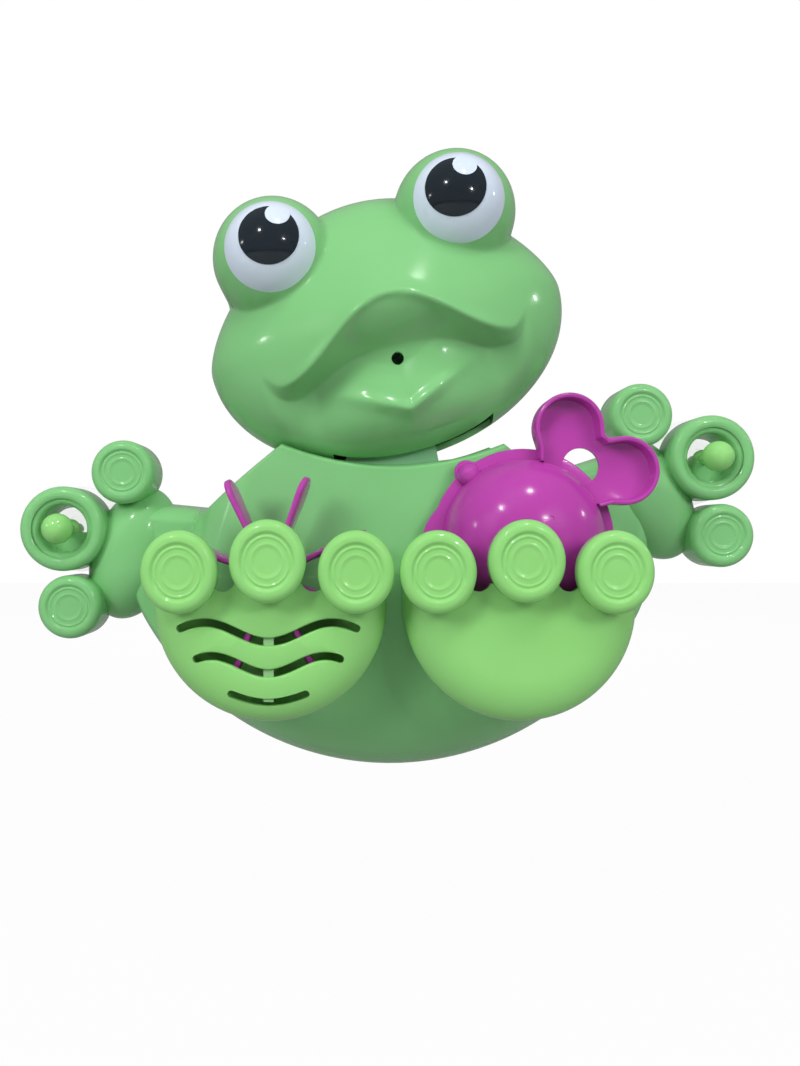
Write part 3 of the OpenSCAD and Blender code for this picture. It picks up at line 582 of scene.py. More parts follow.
@dataclass
class Belly:
    """The body's front shell, with the two arms.

    Attributes:
        arc_r: radius of the lower edge.
        arc_h: height of that arc's centre.
        front: distance of the front from the wall.
        back: distance of the open back from the wall.
        collar_half: half the distance between the collar's corners.
        collar_h: height of the collar's middle.
        collar_rise: rise to its corners.
        collar_round: how far the front rounds off below the collar.
        keel_round: how far it rounds off above the lower edge.
        flank_round: how far it rounds off inside the flanks.
        arm_round: how far the arms round off inside their edges.
        arm_reach: distance of the arms' ends from the middle.
        flank_half: half the width across the flanks, at the height of 0.
        flank_slope: how much narrower that gets with height.
        shoulder_slope: fall of the shoulders beside the collar.
        arm_front: distance of the arms' front from the wall.
        arm_cross: height where the arms' upper edges would cross.
        raises: raise of the left and the right arm, in degrees.
        fillets: size of the fillets from shoulder to arm and from dome to arm.
        edge_round: width over which all edges curl back.
        within: share of the reach where the grid ends, just short of the edges' crossing.
        room: steps of the hollow under the head: its inset, and its distance from the wall, from and to.
        room_gap: play between the head's oval and the hollow.
        room_arc: directions that the hollow spans, seen from the pivot, in degrees.
        pad_inset: how far the pads behind the feet stay inside the feet's outline.
        pad_back: distance of those pads' backs from the wall.
        pad_crown: how far their faces stand off the front.
        columns: steps of the grid across.
        rows: steps of the grid up.
    """

    arc_r: float = 126.0
    arc_h: float = 21.0
    front: float = 51.5
    back: float = 8.0
    collar_half: float = 46.0
    collar_h: float = 30.5
    collar_rise: float = 9.0
    collar_round: float = 4.0
    keel_round: float = 60.0
    flank_round: float = 26.0
    arm_round: float = 9.0
    arm_reach: float = 118.0
    flank_half: float = 90.0
    flank_slope: float = 0.32
    shoulder_slope: float = 0.82
    arm_front: float = 24.0
    arm_cross: float = 3.7
    raises: tuple[float, float] = (5.5, 18.0)
    fillets: tuple[float, float] = (3.0, 2.0)
    edge_round: float = 2.0
    within: float = 0.99999
    room: tuple[tuple[float, float, float], ...] = ((0.0, 9.0, 44.0), (1.7, 43.9, 48.0))
    room_gap: float = 0.5
    room_arc: tuple[float, float] = (205.0, 334.0)
    pad_inset: float = 3.0
    pad_back: float = 38.0
    pad_crown: float = 0.15
    columns: int = 300
    rows: int = 130

    def keel(self, x: Grid, inset: float) -> Grid:
        """Height of the lower edge: the lower half of a circle, h - sqrt(r^2 - x^2)."""
        return self.arc_h - np.sqrt((self.arc_r - inset) ** 2 - x * x)

    def crown(self, x: Grid, inset: float) -> Grid:
        """Height of the upper edge: a parabola between the corners, then the shoulder or the arm.

        Args:
            x: places across the body.
            inset: how far inside the outer skin the edge lies.

        Returns:
            The height at each place: outside the corners the higher of two straight slopes, filleted.
        """
        out = np.abs(x)
        collar = self.collar_h + self.collar_rise * (x / self.collar_half) ** 2
        shoulder = self.collar_h + self.collar_rise - self.shoulder_slope * (out - self.collar_half)
        slope = np.where(x < 0, *(math.tan(math.radians(r)) for r in self.raises))
        arm = self.arm_cross + out * slope
        outer = soft_max(shoulder, arm, self.fillets[0])
        return np.where(out < self.collar_half, collar, outer) - inset

    def depth(self, x: Grid, z: Grid, inset: float) -> Grid:
        """Distance from the wall: a dome and the flat arms, both rounded off towards their edges.

        Args:
            x: places across the body.
            z: their heights.
            inset: how far inside the outer skin they lie.

        Returns:
            The back's distance plus the higher of dome and arm, each a product of quarter-circle
            rises counted from its edges.
        """
        low = z - self.keel(x, inset)
        high = self.crown(x, inset) - z
        end = self.arm_reach - inset - np.abs(x)
        side = self.flank_half - self.flank_slope * z - np.abs(x) - inset
        dome = ease(low / self.keel_round) * ease(high / self.collar_round) * ease(side / self.flank_round)
        arm = ease(low / self.arm_round) * ease(high / self.arm_round)
        dome = (self.front - self.back - inset) * dome
        arm = (self.arm_front - self.back - inset) * arm
        tall = soft_max(dome, arm, self.fillets[1])
        return self.back + ease(end / self.arm_round) * tall * ease(np.minimum(low, high) / self.edge_round)

    def skin(self, inset: float) -> Grid:
        """The front as a grid: across the whole reach, and up between the two edges.

        Steps across crowd towards both ends. The height runs from the lower to the upper edge by
        (1 - cos(180t)) / 2, and the grid's border lies on the open back.

        Args:
            inset: how far inside the outer skin the grid lies.

        Returns:
            Columns x rows x 3 points.
        """
        x = ((self.arm_reach - inset) * spread(self.columns))[:, None] * self.within
        t = (1 - np.cos(np.pi * np.linspace(0, 1, self.rows))) / 2
        z = self.keel(x, inset) * (1 - t) + self.crown(x, inset) * t
        out = self.depth(x + 0 * z, z, inset)
        out[0], out[-1], out[:, 0], out[:, -1] = (self.back,) * 4
        return np.stack([x + 0 * z, z, out], axis=-1)

    def head_room(self) -> list[bpy.types.Object]:
        """Cutting solids behind the collar's lip, as wide as the head's oval reaches in any tilt.

        In each direction from the pivot the oval's edge solves p t^2 + q t + r = 0, and the hollow
        takes the furthest of these over all tilts.

        Returns:
            One cutting solid for each step of the hollow.
        """
        head, made = Head(), []
        a = np.radians(np.linspace(*self.room_arc, 87))
        for inset, low, high in self.room:
            far = np.zeros_like(a)
            for tilt in np.linspace(-head.tilt, head.tilt, 21):
                b = a - math.radians(tilt)
                w, d = head.half - inset + self.room_gap, head.down - inset + self.room_gap
                p = (np.cos(b) / w) ** 2 + (np.sin(b) / d) ** 2
                q = -2 * head.mid * np.sin(b) / (d * d)
                r = (head.mid / d) ** 2 - 1
                far = np.maximum(far, (np.sqrt(q * q - 4 * p * r) - q) / (2 * p))
            flat = np.stack([far * np.cos(a), head.pivot + far * np.sin(a)], axis=-1)
            made.append(solid("cut_head_room", [rings(lambda i, f=flat: f, [(0, low), (0, high)])]))
        return made

    def build(self, bench: Bench) -> None:
        """Makes the shell and the pads behind the feet.

        Args:
            bench: where pieces are fitted.
        """
        thing = carved(solid("belly", shell(self.skin(0.0), self.skin(WALL))), self.head_room())
        bench.fit(thing, Body.TORSO, LEAF, ["belly_shell"], degrees=50.0)
        foot = Foot(Side.LEFT)
        steps = [(0.0, self.pad_back), (0.0, self.front), (0.1, self.front + self.pad_crown)]
        for side in Side:
            pad = rings(lambda i: foot.outline(self.pad_inset + i), steps)
            thing = solid(f"foot_pad_{side.name.lower()}", [pad], shifted(side.value * foot.out, 0.0))
            bench.fit(thing, Body.TORSO, LEAF)


@dataclass
class Foot:
    """A foot: a pocket with three toes on its front.

    Attributes:
        side: which foot.
        out: distance from the middle of the body.
        mid: height of the round's centre.
        radius: radius of the round.
        top: height where the sides end.
        front_top: height where the front wall ends.
        back: distance of its back from the wall.
        front: distance of its front from the wall.
        back_top: height where the back wall ends.
        edge: depth of the rounding of its front edge.
        bevel: width of that rounding.
        nick: size of the bevel along its back edge.
        back_share: thickness of the back wall as a share of the others.
        flat_share: where the front's flat part has its middle row, as a share of its radius.
        toe_r: radius of a toe's pad.
        toe_oval: stretch of the pad across and up.
        toe_back: distance of the pad's back from the wall.
        toe_front: distance of its rim from the wall.
        toes: places of the toes, from the middle of the foot.
        toe_shift: how far all toes lie towards the middle of the body.
        stem: radii of a toe's stem at its back and its front, and its distances from the wall.
        scallop: place and radius of the cuts between the toes.
        slots: height, half length, length of one wave and rise of the wave of each slot.
        slot_w: width of a slot.
        slot_flare: how the slots widen towards the front: growth, and distance behind the front.
        drain: distance of the drains from the middle, half their width, and their height.
        rib: half width of the rib behind the slots, and the heights of its ends.
        boss: radius of the axle's boss and its distances from the wall, from and to.
    """

    side: Side
    out: float = 48.3
    mid: float = -28.0
    radius: float = 45.0
    top: float = -15.0
    front_top: float = -19.0
    back_top: float = -28.0
    back: float = 51.8
    front: float = 80.0
    edge: float = 11.0
    bevel: float = 17.0
    nick: float = 0.4
    back_share: float = 0.8
    flat_share: float = 0.6
    toe_r: float = 14.6
    toe_oval: tuple[float, float] = (0.97, 1.06)
    toe_back: float = 83.0
    toe_front: float = 91.0
    toes: tuple[tuple[float, float], ...] = ((-32.6, -14.4), (0.0, -10.4), (32.6, -14.4))
    toe_shift: float = 0.6
    stem: tuple[float, float, float, float] = (11.68, 11.388, 77.6, 84.0)
    scallop: tuple[float, float, float] = (17.0, -17.5, 4.6)
    slots: tuple[tuple[float, float, float, float], ...] = (
        (-37.5, 33.3, 48.6, 7.3),
        (-49.8, 27.1, 43.0, 6.5),
        (-60.3, 14.0, 63.1, 7.6),
    )
    slot_w: float = 3.1
    slot_flare: tuple[tuple[float, float], ...] = (
        (0.0, 14.0),
        (0.0, 0.7),
        (0.12, 0.4),
        (0.35, 0.15),
        (0.8, -0.05),
        (1.2, -0.5),
    )
    drain: tuple[float, float, float] = (10.0, 2.5, 5.0)
    rib: tuple[float, float, float] = (1.95, -64.0, -34.1)
    boss: tuple[float, float, float] = (5.0, 77.5, 83.0)

    def outline(self, inset: float) -> Grid:
        """A half circle below, (r cos a, mid + r sin a), and straight sides above.

        Args:
            inset: how far inside the foot's edge the outline lies.

        Returns:
            Points of (across, up).
        """
        a = np.linspace(-np.pi, 0, 96)
        r = self.radius - inset
        low = np.stack([r * np.cos(a), self.mid + r * np.sin(a)], axis=-1)
        return np.concatenate([[[-r, self.top - inset]], low, [[r, self.top - inset]]])

    def profile(self, inset: float) -> Grid:
        """Section from the middle of the back, round the front edge, to the middle of the front.

        Args:
            inset: how far inside the foot's skin the section lies.

        Returns:
            Points of (radius, out), whose front edge is a quarter ellipse.
        """
        mid_r, mid_o = self.radius - self.bevel, self.front - self.edge
        back, out = self.back + self.back_share * inset, self.radius - inset
        turn = arc(0, 0, 1, 0, 90, 20) * [self.bevel - inset, self.edge - inset] + [mid_r, mid_o]
        return line_of(
            [[0, back], [mid_r, back], [out - self.nick, back], [out, back + self.nick]],
            turn,
            [[mid_r * self.flat_share, self.front - inset], [0, self.front - inset]],
        )

    def pocket(self) -> list[Patch]:
        """Carries the outer and the inner section down one side, round and up the other side.

        Returns:
            The two skins and the strips that close their rims.
        """
        a = np.linspace(0, -np.pi, 121)
        angle = np.concatenate([[0.0], a, [-np.pi]])[:, None]
        lift = np.concatenate([[self.top - self.mid], 0 * a, [self.top - self.mid]])[:, None]
        skins = []
        for line in (self.profile(0.0), self.profile(WALL)):
            x, z = line[:, 0] * np.cos(angle), self.mid + line[:, 0] * np.sin(angle) + lift
            skins.append(np.stack([x, z, line[:, 1] + 0 * x], axis=-1))
        outer, inner = skins
        rims = [Patch(np.stack([outer[end], inner[end]])) for end in (0, -1)]
        return [Patch(outer), Patch(inner), *rims]

    def wave(self, slot: tuple[float, float, float, float], grow: float, count: int = 60) -> Grid:
        """A slot's outline: a band of even width along a cosine, with round ends.

        Args:
            slot: height, half length, length of one wave and rise of the wave.
            grow: how far the outline stands outside the slot.
            count: steps along each side.

        Returns:
            Points of (across, up): the cosine's points moved along its normals by half the width.
        """
        height, half, long, rise = slot
        x = np.linspace(-half, half, count)
        k = 2 * np.pi / long
        z, slope = height - rise / 2 * np.cos(k * x), rise / 2 * k * np.sin(k * x)
        lean = np.arctan(slope)
        r = self.slot_w / 2 + grow
        up = np.stack([x - r * np.sin(lean), z + r * np.cos(lean)], axis=-1)
        down = np.stack([x + r * np.sin(lean), z - r * np.cos(lean)], axis=-1)[::-1]
        a = np.linspace(np.pi / 2, -np.pi / 2, 11)[1:-1]
        right = np.stack([x[-1] + r * np.cos(a + lean[-1]), z[-1] + r * np.sin(a + lean[-1])], axis=-1)
        left = np.stack([x[0] - r * np.cos(a + lean[0]), z[0] - r * np.sin(a + lean[0])], axis=-1)
        return np.concatenate([up, right, down, left])

    def cutters(self) -> list[bpy.types.Object]:
        """Solids that open the front's top and the back's, the scallops, and the slots or the drains.

        Returns:
            The cutting solids.
        """
        wide, made = self.radius - WALL, []
        x, z, scallop = self.scallop
        deep = (self.back - 1, self.back + 3)
        above, inside, ahead = 20.0, self.front - 20, self.front + 10
        made.append(block("cut_top", (-wide, wide), (self.front_top, above), (self.front - self.edge, ahead)))
        made.append(block("cut_back", (-wide, wide), (self.back_top, above), deep))
        for s in Side:
            made.append(solid("cut_scallop", [rod(scallop, inside, ahead)], shifted(s.value * x, z)))
        if self.side is Side.LEFT:
            flare = [(grow, self.front - behind) for grow, behind in self.slot_flare]
            for slot in self.slots:
                made.append(solid("cut_slot", [rings(lambda g, s=slot: self.wave(s, g), flare)]))
        else:
            dist, half, tall = self.drain
            low = self.mid - self.radius
            for s in Side:
                mid = s.value * dist
                made.append(block("cut_drain", (mid - half, mid + half), (low - 1, low + tall), deep))
        return made

    def toe(self) -> Patch:
        """A pad, a little taller than wide: rolled rim, groove, ridges and a shallow dish.

        Returns:
            A closed patch.
        """
        made = lathe(Pad(self.toe_r, self.toe_back, self.toe_front).profile())
        made.points *= np.array([*self.toe_oval, 1.0])
        return made

    def build(self, bench: Bench) -> None:
        """Makes the pocket, its toes and what holds them.

        Args:
            bench: where pieces are fitted.
        """
        name = self.side.name.lower()
        here = self.side.value * self.out
        thing = carved(solid(f"foot_{name}", self.pocket()), self.cutters())
        thing.data.transform(Matrix.Translation((here * MM, 0, 0)))
        bench.fit(thing, Body.TORSO, LIME, [f"{name}_foot"], degrees=32.0)
        for number, (x, z) in enumerate(self.toes):
            place = shifted(here + x - self.side.value * self.toe_shift, z)
            thing = solid(f"toe_{name}_{number + 1}", [self.toe()], place)
            bench.fit(thing, Body.TORSO, LIME)
            wide, slim, low, high = self.stem
            stem = lathe([(0, low), (wide, low), (slim, high), (0, high)], 64)
            flat = stem.points
            flat[..., 1] = np.minimum(flat[..., 1], self.front_top - z)
            thing = solid(f"toe_stem_{name}_{number + 1}", [stem], place)
            bench.fit(thing, Body.TORSO, LIME)
        if self.side is Side.LEFT:
            self.build_rib(bench, here)

    def build_rib(self, bench: Bench, here: float) -> None:
        """Makes the upright rib behind the slots and the boss that takes the axle.

        Args:
            bench: where pieces are fitted.
            here: the foot's place across the body.
        """
        half, low, high = self.rib
        inside = self.front - WALL
        depth = (inside - 1.0, inside + 0.4)
        thing = block("slot_rib", (-half, half), (low, high), depth, shifted(here, 0.0))
        # The rib takes the darker copy of the lime plastic: painted shade for the recess behind the slots.
        bench.fit(thing, Body.TORSO, LIME_IN_PAINTED_SHADE)
        thing = solid("axle_boss", [rod(*self.boss)], shifted(*Wheel().middle))
        bench.fit(thing, Body.TORSO, LIME)


@dataclass
class Pad:
    """The round pad of a finger or a toe: a rolled rim, a sunk face with two ridges, and a dish.

    Attributes:
        radius: its radius.
        back: distance of its back from the wall.
        front: distance of its rim from the wall.
        back_round: radius of its back edge.
        back_share: share of the radius where the flat back has its last row.
        lip_shares: radius of the rolled rim, as a share of the depth and as one of the radius.
        sink: share of the radius where the face starts to sink, share of its slope, and its depth.
        ridges: share of the radius, share of the width and height of each ridge.
        dish: share of the radius where the dish starts, share of its slope, and its depth.
    """

    radius: float
    back: float
    front: float
    back_round: float = 1.2
    back_share: float = 0.9
    lip_shares: tuple[float, float] = (0.42, 0.24)
    sink: tuple[float, float, float] = (0.74, 0.11, 0.9)
    ridges: tuple[tuple[float, float, float], ...] = ((0.585, 0.032, 0.35), (0.41, 0.032, 0.2))
    dish: tuple[float, float, float] = (0.39, 0.1, 0.25)

    def profile(self) -> Grid:
        """Section from the middle of the back to the middle of the face.

        The rim is a quarter circle. Further in, the face is the rim's level less a smooth step for
        the sink and one for the dish, plus a bell curve for each ridge.

        Returns:
            Points of (radius, out).
        """
        r = self.radius
        lip = min((self.front - self.back) * self.lip_shares[0], r * self.lip_shares[1])
        x = np.linspace(r - lip, 0, 60)
        face = np.full_like(x, self.front)
        for start, slope, deep in (self.sink, self.dish):
            face -= deep * step((start - x / r) / slope)
        for crest, wide, tall in self.ridges:
            face += tall * bell((x / r - crest) / wide)
        return line_of(
            [[0, self.back], [r * self.back_share, self.back]],
            arc(r - self.back_round, self.back + self.back_round, self.back_round, -90, 0, 5),
            arc(r - lip, self.front - lip, lip, 0, 90, 14),
            np.stack([x[1:], face[1:]], axis=-1),
        )


@dataclass
class Hand:
    """A hand at the end of an arm: palm, two finger pads and the ring of the middle finger.

    Attributes:
        side: which hand.
        ring: place of the ring's middle in the arm's frame.
        high: place of the upper finger, from the ring's middle.
        low: place of the lower finger.
        palm: place of the palm's middle.
        palm_size: half width and half height of the palm.
        palm_lean: how far the palm is turned in its arm, in degrees.
        palm_power: how full the palm's dome is; 1 would be an ellipse.
        back: distance of the palm's edge from the wall.
        palm_front: distance of its crown from the wall.
        front: distance of the fingers' rims from the wall.
        finger_r: radius of a finger's pad.
        finger_back: distance of the fingers' backs from the wall.
        ring_r: outer radius of the ring.
        hole_r: radius of its hole.
        ring_back: distance of its back from the wall.
        ring_rounds: radii of the ring's outer and inner back edges and of its outer ridge.
        ridge: radius of the ring's inner ridge, its shift inwards and its depth behind the front.
        web: level up to which the hole is closed, the web's thickness, and how far it reaches
            into the ring.
        ball_out: distance of the knob's ball from the wall.
        ball_r: radius of the ball.
        stem: the knob's stem and collar, as (radius, out) points from the cup's neck.
        ball_start: where the ball's arc leaves the stem, in degrees.
    """

    side: Side
    ring: tuple[float, float] = (143.0, -15.6)
    high: tuple[float, float] = (-24.0, 27.3)
    low: tuple[float, float] = (-6.5, -33.8)
    palm: tuple[float, float] = (-28.0, -8.4)
    palm_size: tuple[float, float] = (19.0, 31.0)
    palm_lean: float = 12.0
    palm_power: float = 0.8
    back: float = 9.0
    palm_front: float = 27.0
    front: float = 30.0
    finger_r: float = 13.9
    finger_back: float = 11.0
    ring_r: float = 18.6
    hole_r: float = 9.8
    ring_back: float = 11.0
    ring_rounds: tuple[float, float, float] = (2.0, 1.2, 3.3)
    ridge: tuple[float, float, float] = (2.6, 1.2, 4.2)
    web: tuple[float, float, float] = (-1.5, 8.0, 1.0)
    ball_out: float = 34.0
    ball_r: float = 6.6
    stem: tuple[tuple[float, float], ...] = ((2.6, 6.2), (2.6, 16.3), (4.4, 16.3), (4.4, 18.2), (2.6, 19.0))
    ball_start: float = -67.0

    @property
    def tilt(self) -> float:
        """Raise of this hand's arm, in degrees."""
        return Belly().raises[0 if self.side is Side.LEFT else 1]

    def place(self, p: Grid) -> Grid:
        """Takes the arm's frame to the row's: mirrored for the left, then raised."""
        x, z = turned(p[..., 0], p[..., 1], self.tilt)
        return on_wall(np.stack([self.side.value * x, Belly().arm_cross + z, p[..., 2]], axis=-1))

    def at(self, spot: tuple[float, float] = (0.0, 0.0)) -> Place:
        """A place at a spot counted from the ring's middle."""
        return shifted(self.ring[0] + spot[0], self.ring[1] + spot[1], then=self.place)

    def palm_patch(self) -> Patch:
        """A leaning oval dome: rings that shrink with a power of cos(t) while they rise with sin(t).

        Returns:
            A closed patch with a flat floor.
        """
        t = np.linspace(0, 1, 36)[:, None] * np.pi / 2
        a = circle(120)
        shrink = np.cos(t) ** self.palm_power
        x, z = self.palm_size[0] * shrink * np.cos(a), self.palm_size[1] * shrink * np.sin(a)
        x, z = turned(x, z, self.palm_lean)
        out = self.back + (self.palm_front - self.back) * np.sin(t) + 0 * a
        dome = np.stack([x, z, out], axis=-1)
        floor = np.broadcast_to([0, 0, self.back], dome[:1].shape)
        return Patch(np.concatenate([floor, dome]), around=True)

    def ring_patch(self) -> Patch:
        """The ring's section carried round: a low inner ridge and a higher rolled outer ridge.

        Returns:
            A closed patch.
        """
        mid = (self.hole_r + self.ring_r) / 2
        outer, inner, roll = self.ring_rounds
        ridge, inwards, sunk = self.ridge
        line = line_of(
            arc(self.ring_r - outer, self.ring_back + outer, outer, -90, 0, 6),
            arc(self.ring_r - roll, self.front - roll, roll, 0, 130, 14),
            arc(mid - inwards, self.front - sunk, ridge, 60, 160, 12),
            arc(self.hole_r + inner, self.ring_back + inner, inner, 180, 270, 6),
        )
        made = lathe(line, 120)
        return Patch(made.points, around=True, along=True)

    def web_patch(self) -> Patch:
        """The web that closes the lower part of the hole: a disc whose upper part is cut level.

        The disc's points are turned upright, held down to the web's level and turned back.

        Returns:
            A closed patch.
        """
        level, thick, into = self.web
        a = circle(72)
        r = self.hole_r + into
        flat = np.stack([r * np.cos(a), r * np.sin(a)], axis=-1)
        x, z = turned(flat[:, 0], flat[:, 1], self.tilt)
        z = np.minimum(z, level)
        x, z = turned(x, z, -self.tilt)
        flat = np.stack([x, z], axis=-1)
        return rings(lambda inset: flat, [(0, self.ring_back + share * thick) for share in (0.0, 0.95, 1.0)])

    def build(self, bench: Bench) -> None:
        """Makes the hand's pieces and its ball knob.

        Args:
            bench: where pieces are fitted.
        """
        name = self.side.name.lower()
        made = solid(f"palm_{name}", [self.palm_patch()], self.at(self.palm))
        bench.fit(made, Body.TORSO, LEAF, [f"{name}_hand"])
        for word, spot in (("upper", self.high), ("lower", self.low)):
            pad = lathe(Pad(self.finger_r, self.finger_back, self.front).profile())
            made = solid(f"finger_{word}_{name}", [pad], self.at(spot))
            bench.fit(made, Body.TORSO, LEAF)
        made = solid(f"finger_ring_{name}", [self.ring_patch()], self.at())
        bench.fit(made, Body.TORSO, LEAF)
        made = solid(f"ring_web_{name}", [self.web_patch()], self.at())
        bench.fit(made, Body.TORSO, LEAF)
        ball = arc(0, self.ball_out, self.ball_r, self.ball_start, 90, 30)[:-1]
        top = [0, self.ball_out + self.ball_r]
        knob = lathe(line_of([0, self.stem[0][1]], self.stem, ball, top), 72)
        made = solid(f"knob_{name}", [knob], self.at())
        bench.fit(made, Body.TORSO, LIME, [f"{name}_cup_knob"])
        bench.dress([f"{name}_suction_cup"], VINYL)


@dataclass
class Wheel:
    """The water wheel: a hub and eight round-ended paddles.

    Attributes:
        middle: place of its axis.
        radius: radius at the tips.
        width: width of a paddle along the axis.
        thick: thickness of a paddle.
        lean: lean of a paddle's face at its tip, in degrees.
        front: distance of the paddles' front from the wall.
        count: number of paddles.
        phase: angle of the first, in degrees.
        root: radius where the paddles start, inside the hub.
        hub_r: radius of the hub.
        hub: distances of the hub's ends from the wall.
        bore: radius of the axle's hole.
        bevels: bevels of the hub's back and front edge.
        section: powers that square off a paddle's section across and through.
        thinning: thickness at the root as a share, what the tip has more, and the power of its edge.
    """

    middle: tuple[float, float] = (-48.3, -16.7)
    radius: float = 41.0
    width: float = 15.0
    thick: float = 3.1
    lean: float = 6.0
    front: float = 76.0
    count: int = 8
    phase: float = 24.5
    root: float = 3.2
    hub_r: float = 5.5
    hub: tuple[float, float] = (51.8, 77.2)
    bore: float = 2.08
    bevels: tuple[float, float] = (0.4, 0.8)
    section: tuple[float, float] = (0.6, 0.55)
    thinning: tuple[float, float, float] = (0.75, 0.35, 0.35)

    def paddle(self, degrees: float) -> Patch:
        """One paddle: a rounded slab whose width closes in a half circle at its tip.

        Along the radius s the half width is w, then sqrt(w^2 - (s - s0)^2) past s0. Around it the
        section is a flattened ring, cosine across and sine through, that leans more towards the tip.

        Args:
            degrees: direction of the paddle.

        Returns:
            A closed patch.
        """
        w = self.width / 2
        tip = self.radius - w
        bend = tip + w * np.sin(np.linspace(0, np.pi / 2, 20))
        s = np.concatenate([np.linspace(self.root, tip, 24), bend[1:]])
        half = np.sqrt(np.clip(w * w - np.clip(s - tip, 0, w) ** 2, 0, None))
        a = circle(40)
        square_across, square_through = self.section
        across = np.sign(np.cos(a)) * np.abs(np.cos(a)) ** square_across
        through = np.sign(np.sin(a)) * np.abs(np.sin(a)) ** square_through
        share, more, power = self.thinning
        thin = np.clip((half / w), 0, 1) ** power * (share + more * s / self.radius)
        lean = math.tan(math.radians(self.lean)) * step(s / self.radius)[:, None]
        out = self.front - w + half[:, None] * across
        edge = (self.thick / 2) * through * thin[:, None] + (out - self.front + w) * lean
        x, z = turned(s[:, None] + 0 * edge, edge, degrees)
        rows = np.stack([x, z, out], axis=-1)
        root = np.broadcast_to(rows[0].mean(axis=0), rows[0].shape)
        return Patch(np.concatenate([root[None], rows]), around=True)

    def build(self, bench: Bench) -> None:
        """Makes the hub and its paddles as one moulding.

        Args:
            bench: where pieces are fitted.
        """
        r, (low, high), (rear, fore) = self.hub_r, self.hub, self.bevels
        line = [(self.bore, low), (r - rear, low), (r, low + rear)]
        line += [(r, high - fore), (r - fore, high), (self.bore, high)]
        patches = [Patch(lathe(line, 64).points, around=True, along=True)]
        patches += [self.paddle(self.phase + 360 / self.count * i) for i in range(self.count)]
        made = solid("water_wheel_moulding", patches, shifted(*self.middle))
        bench.fit(made, Body.WHEEL, PINK, ["water_wheel"])


